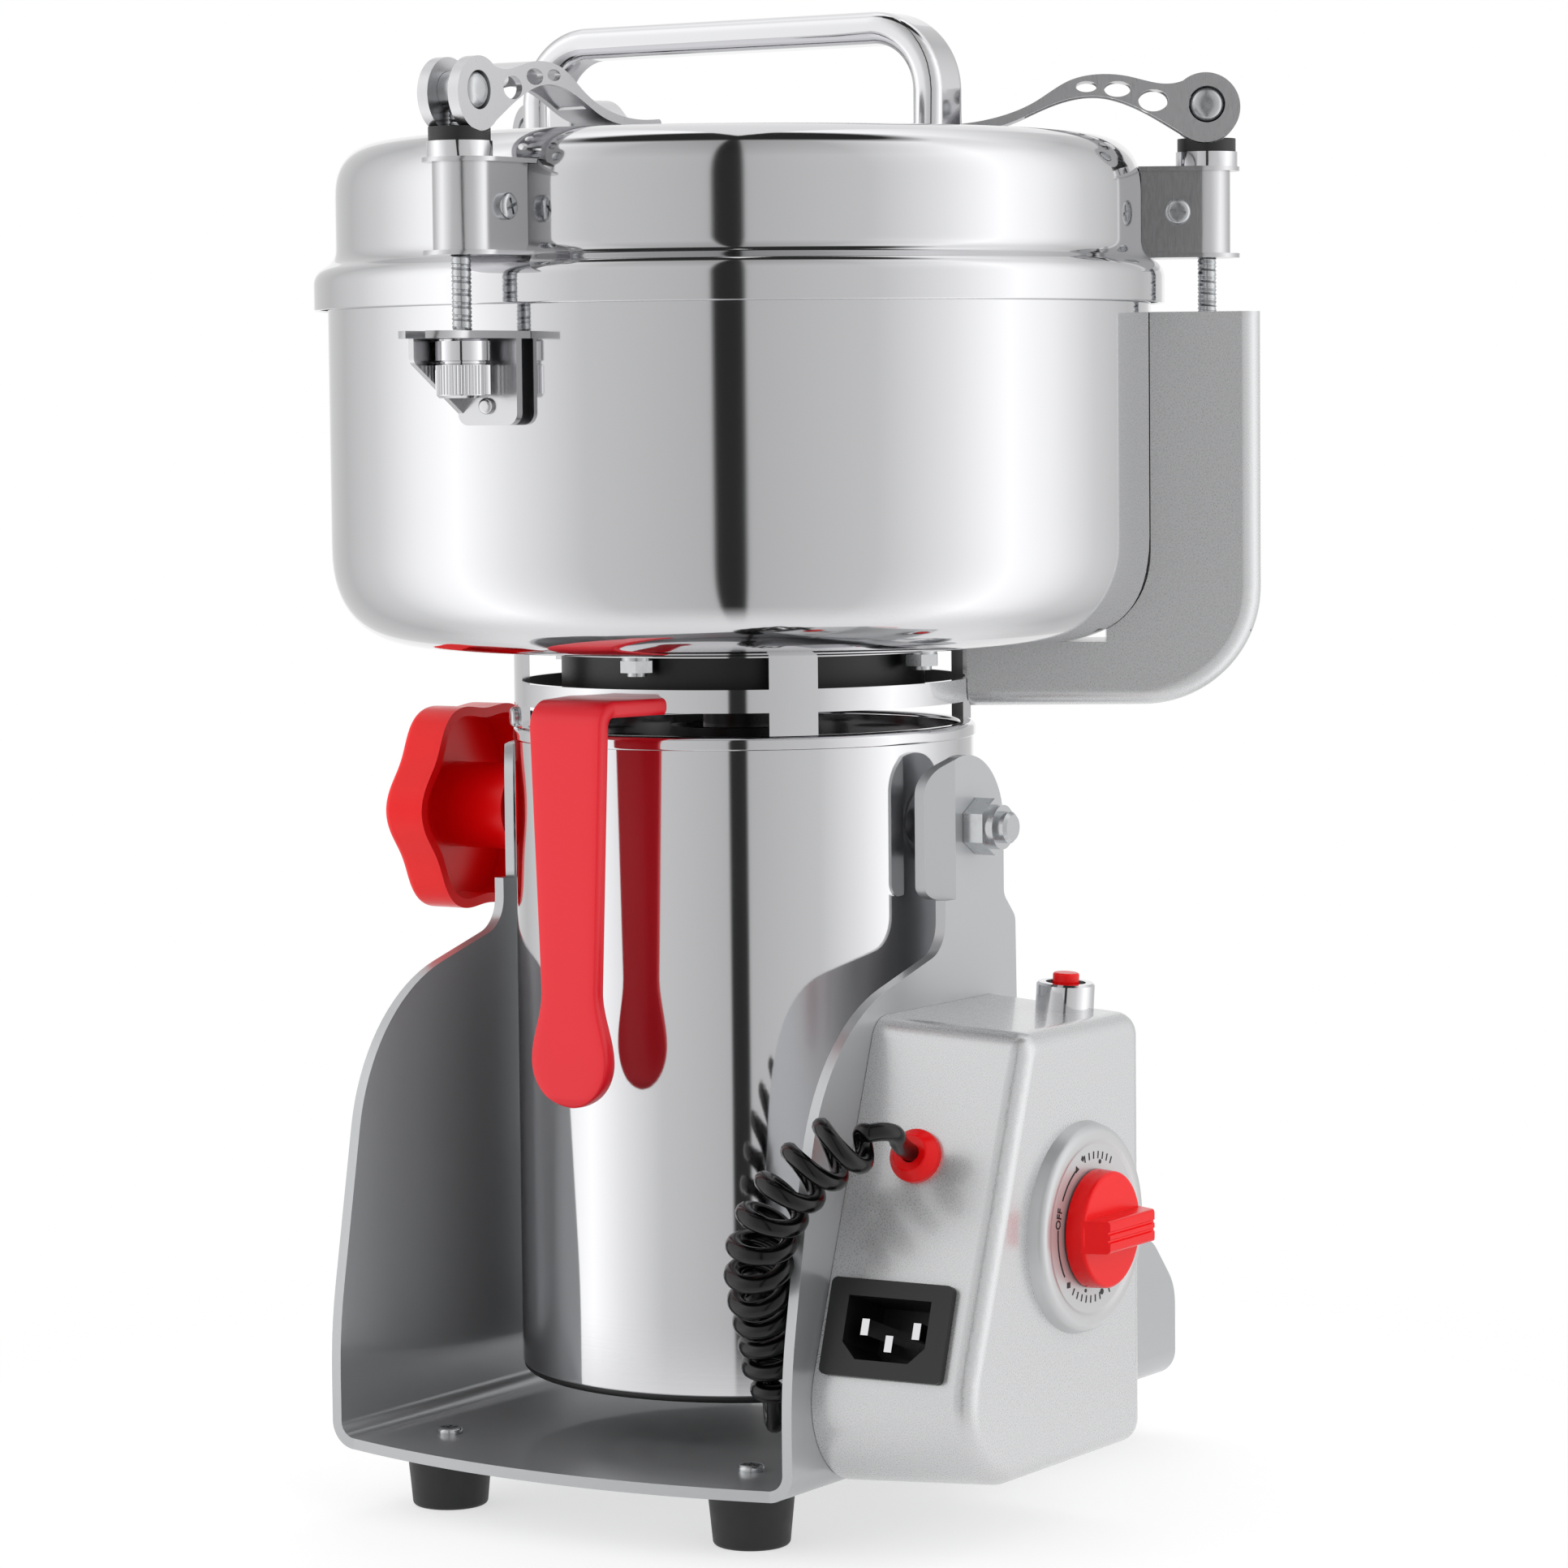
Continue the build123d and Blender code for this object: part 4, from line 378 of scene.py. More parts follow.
def along_x(form, x, y, z):
    """Lays a form made about Z down along +X, and moves it to its place."""
    form.transform(Matrix.Translation((x, y, z)) @ Matrix.Rotation(radians(90), 4, "Y"))
    return form


def moved(form, x, y, z):
    """Moves a form to its place."""
    form.transform(Matrix.Translation((x, y, z)))
    return form


def round_the_bowl(form, angle):
    """Turns a form made for the front clamp to another clamp's place."""
    form.transform(Matrix.Rotation(radians(angle), 4, "Z"))
    return form


def joined(*forms):
    """Several forms as one."""
    whole = bmesh.new()
    for form in forms:
        mesh = bpy.data.meshes.new("part")
        form.to_mesh(mesh)
        form.free()
        whole.from_mesh(mesh)
        bpy.data.meshes.remove(mesh)
    return whole


def piece_of(form, name, material, sharp=34):
    """A form as an object: it faces outwards and is smooth, with its sharp edges kept."""
    bmesh.ops.recalc_face_normals(form, faces=form.faces)
    for face in form.faces:
        face.smooth = True
    for edge in form.edges:
        edge.smooth = len(edge.link_faces) == 2 and edge.calc_face_angle(0) < radians(sharp)
    mesh = bpy.data.meshes.new(name)
    form.to_mesh(mesh)
    form.free()
    mesh.materials.append(material)
    piece = bpy.data.objects.new(name, mesh)
    bpy.context.scene.collection.objects.link(piece)
    return piece


def seat(piece, body, slot, *nodes):
    """Ties a finished piece to its body, in place of the CAD nodes that it stands for; its finish slot is not
    used.
    """
    smooth_faces(piece)
    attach(piece, body)
    if nodes:
        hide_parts(*nodes)
    return piece


def shown_mesh(piece):
    """A piece as its modifiers leave it, as a plain mesh."""
    bpy.context.view_layer.update()
    shown = piece.evaluated_get(bpy.context.evaluated_depsgraph_get())
    return bpy.data.meshes.new_from_object(shown)


# ---------------------------------------------------------------- patterns made by geometry nodes
def new_pattern(name, sizes):
    """A tree with a named input for each size, and one for the material; returns it with its inputs."""
    tree = bpy.data.node_groups.new(name, "GeometryNodeTree")
    tree.interface.new_socket(name="Geometry", in_out="INPUT", socket_type="NodeSocketGeometry")
    for size, kind in sizes.items():
        tree.interface.new_socket(name=size, in_out="INPUT", socket_type=kind)
    tree.interface.new_socket(name="Material", in_out="INPUT", socket_type="NodeSocketMaterial")
    tree.interface.new_socket(name="Geometry", in_out="OUTPUT", socket_type="NodeSocketGeometry")
    return tree, add(tree, "NodeGroupInput").outputs


def end_pattern(tree, geometry, material):
    """Makes the pattern real and gives it its material."""
    real = add(tree, "GeometryNodeRealizeInstances", {"Geometry": geometry})
    painted = add(tree, "GeometryNodeSetMaterial", {"Geometry": real.outputs[0], "Material": material})
    add(tree, "NodeGroupOutput", {"Geometry": painted.outputs[0]})
    return tree


def pattern_form(tree, values, start=None):
    """Runs a tree with these values, on a start mesh where it needs one, and returns its form."""
    mesh = start or bpy.data.meshes.new("start")
    piece = bpy.data.objects.new("pattern", mesh)
    bpy.context.scene.collection.objects.link(piece)
    modifier = piece.modifiers.new("pattern", "NODES")
    modifier.node_group = tree
    for socket in tree.interface.items_tree:
        if socket.in_out == "INPUT" and socket.name in values:
            modifier[socket.identifier] = values[socket.name]
    made = shown_mesh(piece)
    form = bmesh.new()
    form.from_mesh(made)
    bpy.data.objects.remove(piece)
    bpy.data.meshes.remove(made)
    return form


def thread_pattern():
    """A ridge wound round Z, for a screw thread."""
    tree, sizes = new_pattern("thread", {
        "Turns": "NodeSocketFloat", "Height": "NodeSocketFloat", "Radius": "NodeSocketFloat",
        "Ridge": "NodeSocketFloat"})
    winding = add(tree, "GeometryNodeCurveSpiral", {
        "Resolution": 20, "Rotations": sizes["Turns"], "Start Radius": sizes["Radius"],
        "End Radius": sizes["Radius"], "Height": sizes["Height"]})
    ridge = add(tree, "GeometryNodeCurvePrimitiveCircle", {"Resolution": 4, "Radius": sizes["Ridge"]})
    thread = add(tree, "GeometryNodeCurveToMesh", {
        "Curve": winding.outputs[0], "Profile Curve": ridge.outputs[0], "Fill Caps": True})
    return end_pattern(tree, thread.outputs[0], sizes["Material"])


def turn_by_index(tree, step, first=0.0):
    """A turn about Z that grows by one step from copy to copy."""
    index = add(tree, "GeometryNodeInputIndex")
    angle = add(tree, "ShaderNodeMath", {0: index.outputs[0], 1: step, 2: first}, operation="MULTIPLY_ADD")
    euler = add(tree, "ShaderNodeCombineXYZ", {"Z": angle.outputs[0]})
    return angle, add(tree, "FunctionNodeEulerToRotation", {"Euler": euler.outputs[0]})


def knurl_pattern():
    """Upright ridges round Z, for a knurled grip."""
    tree, sizes = new_pattern("knurl", {
        "Count": "NodeSocketInt", "Radius": "NodeSocketFloat", "Height": "NodeSocketFloat",
        "Ridge": "NodeSocketFloat"})
    ring = add(tree, "GeometryNodeMeshCircle", {"Vertices": sizes["Count"], "Radius": sizes["Radius"]})
    ridge = add(tree, "GeometryNodeMeshCylinder", {
        "Vertices": 4, "Radius": sizes["Ridge"], "Depth": sizes["Height"]})
    step = add(tree, "ShaderNodeMath", {0: 2 * pi, 1: sizes["Count"]}, operation="DIVIDE")
    rotation = turn_by_index(tree, step.outputs[0])[1]
    copies = add(tree, "GeometryNodeInstanceOnPoints", {
        "Points": ring.outputs[0], "Instance": ridge.outputs[0], "Rotation": rotation.outputs[0]})
    return end_pattern(tree, copies.outputs[0], sizes["Material"])


def tick_pattern():
    """Thin bars fanned out round Z, for the scale of a dial."""
    tree, sizes = new_pattern("scale ticks", {
        "Count": "NodeSocketInt", "Radius": "NodeSocketFloat", "First": "NodeSocketFloat",
        "Step": "NodeSocketFloat", "Bar": "NodeSocketVector"})
    points = add(tree, "GeometryNodeMeshLine", {"Count": sizes["Count"]})
    angle, rotation = turn_by_index(tree, sizes["Step"], sizes["First"])
    across = add(tree, "ShaderNodeMath", {0: angle.outputs[0]}, operation="COSINE")
    up = add(tree, "ShaderNodeMath", {0: angle.outputs[0]}, operation="SINE")
    side = add(tree, "ShaderNodeCombineXYZ", {"X": across.outputs[0], "Y": up.outputs[0]})
    place = add(tree, "ShaderNodeVectorMath", {
        0: side.outputs[0], "Scale": sizes["Radius"]}, operation="SCALE")
    set_out = add(tree, "GeometryNodeSetPosition", {
        "Geometry": points.outputs[0], "Position": place.outputs[0]})
    bar = add(tree, "GeometryNodeMeshCube", {"Size": sizes["Bar"]})
    copies = add(tree, "GeometryNodeInstanceOnPoints", {
        "Points": set_out.outputs[0], "Instance": bar.outputs[0], "Rotation": rotation.outputs[0]})
    return end_pattern(tree, copies.outputs[0], sizes["Material"])


def screw_pattern():
    """Copies of a screw head on points, each facing the way that its point says."""
    tree, sizes = new_pattern("screws", {"Head": "NodeSocketObject"})
    head = add(tree, "GeometryNodeObjectInfo", {"Object": sizes["Head"]})
    facing = add(tree, "GeometryNodeInputNamedAttribute", {"Name": "facing"}, data_type="FLOAT_VECTOR")
    rotation = add(tree, "FunctionNodeAlignRotationToVector", {"Vector": facing.outputs[0]}, axis="Z")
    copies = add(tree, "GeometryNodeInstanceOnPoints", {
        "Points": sizes["Geometry"], "Instance": head.outputs["Geometry"], "Rotation": rotation.outputs[0]})
    return end_pattern(tree, copies.outputs[0], sizes["Material"])


THREAD = thread_pattern()
KNURL = knurl_pattern()
TICKS = tick_pattern()
SCREWS = screw_pattern()


def crossed_head(radius, height):
    """A pan-head screw's head with its cross recess, standing on Z = 0."""
    dome = turned([
        (0, -0.6 * height), (0.5 * radius, -0.6 * height), (0.5 * radius, 0), (radius, 0),
        (radius, height, 0.62 * height), (0, height)], 48)
    head = piece_of(dome, "head", ZINC)
    for turn in (20, 110):
        slot = bmesh.new()
        bmesh.ops.create_cube(slot, size=1)
        slot.transform(Matrix.Rotation(radians(turn), 4, "Z")
                       @ Matrix.Diagonal((1.25 * radius, 0.24 * radius, height, 1)))
        cut(head, piece_of(moved(slot, 0, 0, 0.95 * height), "cutter", ZINC))
    return head


def cut(piece, cutter):
    """Takes the cutter's form out of a piece."""
    modifier = piece.modifiers.new("cut", "BOOLEAN")
    modifier.object = cutter
    modifier.solver = "EXACT"
    mesh = shown_mesh(piece)
    piece.modifiers.clear()
    piece.data = mesh
    bpy.data.objects.remove(cutter)


def screws(places, radius, height):
    """Crossed pan heads at (place, facing) pairs, as one form."""
    mesh = bpy.data.meshes.new("screw places")
    mesh.from_pydata([place for place, facing in places], [], [])
    facing = mesh.attributes.new("facing", "FLOAT_VECTOR", "POINT")
    for k, (place, way) in enumerate(places):
        facing.data[k].vector = way
    head = crossed_head(radius, height)
    form = pattern_form(SCREWS, {"Head": head, "Material": ZINC}, mesh)
    bpy.data.objects.remove(head)
    return form


# ---------------------------------------------------------------- curly cord
CORD_R, COIL_R = 2.25 * MM, 8.75 * MM
TOP_LEAD = [(87.17, -54.87, 96.07), (87.97, -68.05, 100.72), (92.5, -75.5, 106.0)]
COIL_ROUTE = [
    (88.5, -82.0, 106.5), (80.0, -85.0, 102.0), (70.5, -89.0, 93.0), (63.0, -89.5, 82.0),
    (58.5, -85.5, 70.0), (56.0, -77.5, 58.5), (55.6, -73.0, 47.5), (53.6, -70.2, 38.0),
]
LOW_LEAD = [(51.6, -67.4, 28.5), (45.5, -59.7, 30.0), (41.16, -54.63, 50.0), (32.14, -42.65, 50.0)]
FIRST_PITCH, LAST_PITCH = 9.4 * MM, 6.1 * MM    # the coil is stretched most at its top


def smooth_line(points, order=3, resolution=12):
    """A NURBS curve over its points, which it ends on."""
    data = bpy.data.curves.new("cord", "CURVE")
    data.dimensions = "3D"
    data.resolution_u = resolution
    spline = data.splines.new("NURBS")
    spline.points.add(len(points) - 1)
    for point, place in zip(spline.points, points):
        point.co = (*place, 1.0)
    spline.order_u = order
    spline.use_endpoint_u = True
    line = bpy.data.objects.new("cord", data)
    bpy.context.scene.collection.objects.link(line)
    return line


def route_samples(points):
    """Points close together on the smooth line over a route."""
    line = smooth_line(points, resolution=24)
    mesh = shown_mesh(line)
    samples = [v.co.copy() for v in mesh.vertices]
    bpy.data.objects.remove(line)
    return samples


def frames_along(samples):
    """Distance, place and two cross directions at each sample, carried along without twist."""
    side = Vector((0, 0, 1))
    far = 0.0
    frames = []
    for k, here in enumerate(samples):
        ahead = samples[min(k + 1, len(samples) - 1)] - samples[max(k - 1, 0)]
        along = ahead.normalized()
        side = (side - along * side.dot(along)).normalized()
        if k:
            far += (here - samples[k - 1]).length
        frames.append((far, here, side.copy(), along.cross(side)))
    return frames


def ease(share):
    """A soft step from 0 to 1."""
    share = min(max(share, 0.0), 1.0)
    return share * share * (3 - 2 * share)


def curly_cord():
    """The cord from the box to the motor: a lead, the coil wound round its route by a loop, and a lead."""
    route = [Vector(p) * MM for p in TOP_LEAD + COIL_ROUTE + LOW_LEAD]
    frames = frames_along(route_samples(route))
    ends = [Vector(COIL_ROUTE[k]) * MM for k in (0, -1)]
    first, last = (min(frames, key=lambda f: (f[1] - end).length)[0] for end in ends)
    length = last - first
    swing = COIL_R - CORD_R
    steps_per_turn = 18
    turns = length / (LAST_PITCH - FIRST_PITCH) * log(LAST_PITCH / FIRST_PITCH)
    marks = [f[0] for f in frames if f[0] < first][::6]
    marks += [first + length * k / (turns * steps_per_turn) for k in range(int(turns * steps_per_turn))]
    marks += [f[0] for f in frames if f[0] > last][::6] + [frames[-1][0]]
    points = []
    k = 0
    for mark in marks:
        while k < len(frames) - 2 and frames[k + 1][0] < mark:
            k += 1
        start, end = frames[k], frames[k + 1]
        share = (mark - start[0]) / max(end[0] - start[0], 1e-9)
        place, side, up = (start[i].lerp(end[i], share) for i in (1, 2, 3))
        wound = min(max((mark - first) / length, 0.0), 1.0)
        pitch = FIRST_PITCH + (LAST_PITCH - FIRST_PITCH) * wound
        angle = 2 * pi * length / (LAST_PITCH - FIRST_PITCH) * log(pitch / FIRST_PITCH)
        reach = swing * ease((mark - first) / (5 * MM)) * ease((last - mark) / (4 * MM))
        points.append(place + reach * (cos(angle) * side + sin(angle) * up))
    cord = smooth_line(points, resolution=3)
    cord.name = "curly_cord"
    cord.data.bevel_depth = CORD_R
    cord.data.bevel_resolution = 4
    cord.data.use_fill_caps = True
    cord.data.materials.append(SHEATH)
    print("cord length", round(cord.data.splines[0].calc_length(), 4))
    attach(cord, "stand")
    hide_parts("coiled_cord", "cord_leads")
    tuple(points[0])


curly_cord()


# ---------------------------------------------------------------- spun steel
def bowl():
    """Spun bowl: round-cornered pan with a narrow flange."""
    low, high, inner = BOWL_LOW.z, BOWL_HIGH.z, BOWL_R - BOWL_WALL
    hole = 14.0 * MM
    form = turned([
        (hole, low), (BOWL_R, low, BOWL_CORNER), (BOWL_R, high - BOWL_WALL),
        (BOWL_R + BOWL_LIP, high - BOWL_WALL), (BOWL_R + BOWL_LIP, high), (inner, high),
        (inner, low + BOWL_WALL, BOWL_CORNER - BOWL_WALL), (hole, low + BOWL_WALL)], 256, 5)
    seat(piece_of(form, "spun_bowl", STEEL), "mill", "polished_steel", "bowl")


def lid():
    """Deep drawn lid: flat top, round shoulder, and a stepped skirt with a soft rolled edge."""
    low, high = LID_LOW.z, LID_HIGH.z
    step = low + SKIRT_H + 0.4 * MM
    flare, inset = step + 3.6 * MM, 0.6 * MM
    skirt_in, wall_in = SKIRT_R - LID_WALL, LID_R - LID_WALL
    form = turned([
        (0, high), (LID_R, high, LID_CORNER), (LID_R, flare, 4.6 * MM),
        (SKIRT_R, step, 4.2 * MM), (SKIRT_R, low, 0.45 * MM), (skirt_in, low, 0.45 * MM),
        (skirt_in, step - inset, 3.1 * MM), (wall_in, flare - inset, 5.7 * MM),
        (wall_in, high - LID_WALL, LID_CORNER - LID_WALL), (0, high - LID_WALL)], 256, 5)
    seat(piece_of(form, "drawn_lid", STEEL), "lid", "polished_steel", "lid")


def housing():
    """Motor tube with its two pivot bosses, and the rolled rim on its top."""
    low, high, inner = HOUSING_LOW.z, HOUSING_HIGH.z, HOUSING_R - HOUSING_WALL
    tube = turned([(inner, low), (HOUSING_R, low, 0.4 * MM), (HOUSING_R, high), (inner, high)], 256)
    bosses = []
    for sign in (-1, 1):
        start, end = inner - 5 * MM, HOUSING_HIGH.x
        boss = turned([(0, start), (BOSS_R, start), (BOSS_R, end, 0.6 * MM), (0, end)], 64)
        form = along_x(boss, 0, 0, PIVOT_Z)
        form.transform(Matrix.Rotation(0 if sign > 0 else pi, 4, "Z"))
        bosses.append(form)
    seat(piece_of(joined(tube, *bosses), "motor_tube", STEEL), "mill", "polished_steel", "motor_housing")
    outer, bore = HOUSING_R + RIM_PROUD, inner - RIM_LIP
    rim = turned([
        (bore, RIM_LOW.z), (outer, RIM_LOW.z, 0.5 * MM), (outer, RIM_HIGH.z, 1.5 * MM),
        (bore, RIM_HIGH.z, 1.0 * MM)], 256)
    seat(piece_of(rim, "rolled_rim", STEEL), "mill", "polished_steel", "housing_rim")


bowl()
lid()
housing()


# ---------------------------------------------------------------- red lever
LEVER_T = 2.15 * MM       # half its thickness
LEVER_TOP, LEVER_ROOT, LEVER_WAIST, POMMEL_R = 11.0 * MM, 15.0 * MM, 8.5 * MM, 11.6 * MM    # half widths
LEVER_BEND = 4.5 * MM     # radius of the centre line where the bar turns down
WAIST_UP = 17 * MM        # from the pommel's middle up to the waist
POMMEL_SWELL = 0.12       # how much thicker the pommel is, as a share
LEVER_EDGE = 1.8 * MM     # how far in from its sides the bar starts to round
LEVER_RING = 40           # points round the bar
SIDE_FROM, SIDE_BEND = 0.35, 0.8      # cosine where the flat ends, and how squarely the side rounds
FACE_FROM, FACE_BEND = 0.94, 0.75     # sine where the face is flat, and how squarely it falls away


def lever_stations():
    """The bar from its root to its tip: centre (y, z), way out of its face, half width, half thickness."""
    low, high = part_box("handle_lever")
    front, root, top = low.y + LEVER_T, high.y, high.z - LEVER_T
    middle = low.z + POMMEL_R
    up, forward = Vector((0, 0, 1)), Vector((0, -1, 0))
    for k in range(7):
        y = root + (front + LEVER_BEND - root) * k / 6
        yield y, top, up, LEVER_ROOT + (LEVER_TOP - LEVER_ROOT) * k / 6, LEVER_T
    for k in range(1, 10):
        turn = radians(90) * k / 9
        y, z = front + LEVER_BEND * (1 - sin(turn)), top - LEVER_BEND * (1 - cos(turn))
        yield y, z, Vector((0, -sin(turn), cos(turn))), LEVER_TOP, LEVER_T
    start, waist = top - LEVER_BEND, middle + WAIST_UP
    for k in range(1, 41):
        z = start + (middle - start) * k / 40
        swell = ease((waist - z) / (waist - middle))
        wide = LEVER_TOP + (LEVER_WAIST - LEVER_TOP) * min((start - z) / (start - waist), 1.0)
        wide += (POMMEL_R - LEVER_WAIST) * swell
        yield front, z, forward, wide, LEVER_T * (1 + POMMEL_SWELL * swell)
    for k in range(1, 17):
        turn = radians(90) * k / 16
        wide = max(POMMEL_R * cos(turn), 0.3 * MM)
        thick = LEVER_T * (1 + POMMEL_SWELL) * min(1.0, 1.15 - 0.8 * sin(turn) ** 6)
        yield front, middle - POMMEL_R * sin(turn), forward, wide, thick


def lever_point(angle, wide, thick):
    """One point of the bar's soft-edged section, as (across, deep)."""
    c, d = cos(angle), sin(angle)
    flat = max(wide - LEVER_EDGE, 0.0)
    if abs(c) > SIDE_FROM:
        across = (flat + (wide - flat) * abs(c) ** SIDE_BEND) * (1 if c >= 0 else -1)
    else:
        across = flat * c / SIDE_FROM
    return across, thick * (1 if d >= 0 else -1) * min(1.0, abs(d) / FACE_FROM) ** FACE_BEND


def vinyl_lever():
    """Flat bar bent down from the neck, dipped in vinyl: soft edges, a narrow waist and a round pommel."""
    form = bmesh.new()
    rings = []
    for y, z, out, wide, thick in lever_stations():
        section = [lever_point(2 * pi * k / LEVER_RING, wide, thick) for k in range(LEVER_RING)]
        rings.append([form.verts.new(Vector((across, y, z)) + out * deep) for across, deep in section])
    for a, b in zip(rings, rings[1:]):
        for i in range(LEVER_RING):
            j = (i + 1) % LEVER_RING
            form.faces.new((a[i], a[j], b[j], b[i]))
    form.faces.new(rings[0])
    form.faces.new(rings[-1])
    seat(piece_of(form, "dipped_lever", VINYL, 60), "mill", "red_plastic", "handle_lever")


vinyl_lever()


# ---------------------------------------------------------------- clamps
def threaded_rod(low, high):
    """A rod about Z with a thread all along it."""
    core = BOLT_R - THREAD_DEEP
    rod = turned([(0, low), (core + 0.2 * MM, low), (core + 0.2 * MM, high), (0, high)], 24)
    thread = pattern_form(THREAD, {
        "Turns": (high - low - THREAD_PITCH) / THREAD_PITCH, "Height": high - low - THREAD_PITCH,
        "Radius": core, "Ridge": THREAD_DEEP, "Material": ZINC})
    return joined(rod, moved(thread, 0, 0, low + THREAD_PITCH / 2))


def clamp_bolts():
    """Threaded bolts, each with the domed cross pin that its lever turns on."""
    for side, angle in CLAMP_ANGLES.items():
        low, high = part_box(f"clamp_bolt_{side}")
        pin_z = high.z - PIN_R
        rod = moved(threaded_rod(low.z, pin_z), 0, -CLAMP_R, 0)
        pin = turned([
            (0, -PIN_HALF), (PIN_R, -PIN_HALF, 2.6 * MM), (PIN_R, PIN_HALF, 2.6 * MM), (0, PIN_HALF)], 48)
        form = joined(rod, along_x(pin, 0, -CLAMP_R, pin_z))
        bolt = piece_of(round_the_bowl(form, angle), f"threaded_bolt_{side}", ZINC)
        seat(bolt, f"bolt_{side}", "zinc_screw", f"clamp_bolt_{side}")


def knurled_nuts():
    """Tall nuts: a smooth collar over a straight knurl, both with broken edges."""
    for side in ("front", "left"):
        low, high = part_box(f"knurled_nut_{side}")
        split, bore = high.z - NUT_COLLAR, BOLT_R + 0.05 * MM
        body = turned([
            (bore, low.z), (NUT_R - 0.9 * MM, low.z), (NUT_R - 0.3 * MM, low.z + 0.6 * MM),
            (NUT_R - 0.3 * MM, split - 0.5 * MM), (NUT_R - 0.9 * MM, split - 0.2 * MM),
            (NUT_R - 0.9 * MM, split + 0.2 * MM), (NUT_R, split + 0.5 * MM),
            (NUT_R, high.z - 0.5 * MM), (NUT_R - 0.5 * MM, high.z), (bore, high.z)], 88)
        height = split - low.z - 1.4 * MM
        knurl = pattern_form(KNURL, {
            "Count": KNURLS, "Radius": NUT_R - 0.45 * MM, "Height": height, "Ridge": 0.42 * MM,
            "Material": CHROME})
        form = joined(body, moved(knurl, 0, 0, low.z + 0.8 * MM + height / 2))
        form = round_the_bowl(moved(form, 0, -CLAMP_R, 0), CLAMP_ANGLES[side])
        nut = piece_of(form, f"knurled_nut_{side}_turned", CHROME)
        seat(nut, f"nut_{side}", "chrome_plate", f"knurled_nut_{side}")


def lid_screws():
    """Crossed screws in the flanks of the upper brackets, and the two that hold the handle from below."""
    places = []
    middle = (BRACKET_LOW.z + BRACKET_HIGH.z) / 2
    for angle in CLAMP_ANGLES.values():
        turn = Matrix.Rotation(radians(angle), 3, "Z")
        for sign in (-1, 1):
            place = turn @ Vector((sign * BRACKET_HALF, -BRACKET_SCREW_R, middle))
            places.append((place, turn @ Vector((sign, 0, 0))))
    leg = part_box("lid_handle")[1].x - 4 * MM
    for sign in (-1, 1):
        places.append((Vector((sign * leg, 0, LID_HIGH.z - LID_WALL)), Vector((0, 0, -1))))
    form = screws(places, 3.3 * MM, 2.0 * MM)
    seat(piece_of(form, "lid_screw_heads", ZINC), "lid", "zinc_screw", "lid_screws")


def frame_screws():
    """Crossed screws: four that hold the feet, and four that hold the box to the cheek."""
    floor_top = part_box("base_frame")[0].z + PLATE_T
    feet = [(Vector((x, y, floor_top)), Vector((0, 0, 1))) for x, y in FOOT_PLACES]
    box = [(Vector((CHEEK_IN, y, z)), Vector((-1, 0, 0))) for y, z in BOX_SCREWS]
    form = joined(screws(feet, 3.3 * MM, 1.7 * MM), screws(box, 3.6 * MM, 2.2 * MM))
    seat(piece_of(form, "frame_screw_heads", ZINC), "stand", "zinc_screw", "frame_screws")


clamp_bolts()
knurled_nuts()
lid_screws()
frame_screws()


# ---------------------------------------------------------------- timer dial
MARK_R = 17.4 * MM
MARK_T = 0.12 * MM


def dial_plate():
    """Grey dial with a sloped flank and a raised, rounded rim."""
    low, high = DIAL_LOW.x, DIAL_HIGH.x
    deep = high - low
    form = turned([
        (3.4 * MM, 0), (26.2 * MM, 0), (25.0 * MM, deep, 2.4 * MM), (21.6 * MM, deep, 2.0 * MM),
        (20.8 * MM, deep - 0.5 * MM, 0.8 * MM), (3.4 * MM, deep - 0.5 * MM)], 160)
    dial = piece_of(along_x(form, low, DIAL_Y, DIAL_Z), "dial", DIAL_PAINT)
    seat(dial, "stand", "dial_grey", "dial_plate")


def dial_place(form):
    """Lays marks made flat, with X to the rear and Y up, on the dial's face."""
    face = DIAL_HIGH.x - 0.5 * MM
    axes = Matrix(((0, 0, 1, face), (1, 0, 0, DIAL_Y), (0, 1, 0, DIAL_Z), (0, 0, 0, 1)))
    form.transform(axes)
    return form


def arc_mark(start, stop, radius, wide):
    """A printed arc between two angles in degrees."""
    form = bmesh.new()
    count = max(4, round(abs(stop - start) / 4))
    rows = []
    for k in range(count + 1):
        angle = radians(start + (stop - start) * k / count)
        way = Vector((cos(angle), sin(angle), 0))
        corners = [(radius - wide / 2, 0), (radius + wide / 2, 0), (radius + wide / 2, MARK_T),
                   (radius - wide / 2, MARK_T)]
        rows.append([form.verts.new(way * r + Vector((0, 0, z))) for r, z in corners])
    for a, b in zip(rows, rows[1:]):
        for i in range(4):
            form.faces.new((a[i], a[(i + 1) % 4], b[(i + 1) % 4], b[i]))
    form.faces.new(rows[0])
    form.faces.new(rows[-1])
    return form


def spot_mark(angle, radius, size, sides=16):
    """A printed dot, or an arrowhead or square with few sides."""
    form = turned([(0, 0), (size, 0), (size, MARK_T), (0, MARK_T)], sides)
    turn = radians(angle)
    form.transform(Matrix.Rotation(turn, 4, "Z"))
    return moved(form, radius * cos(turn), radius * sin(turn), 0)


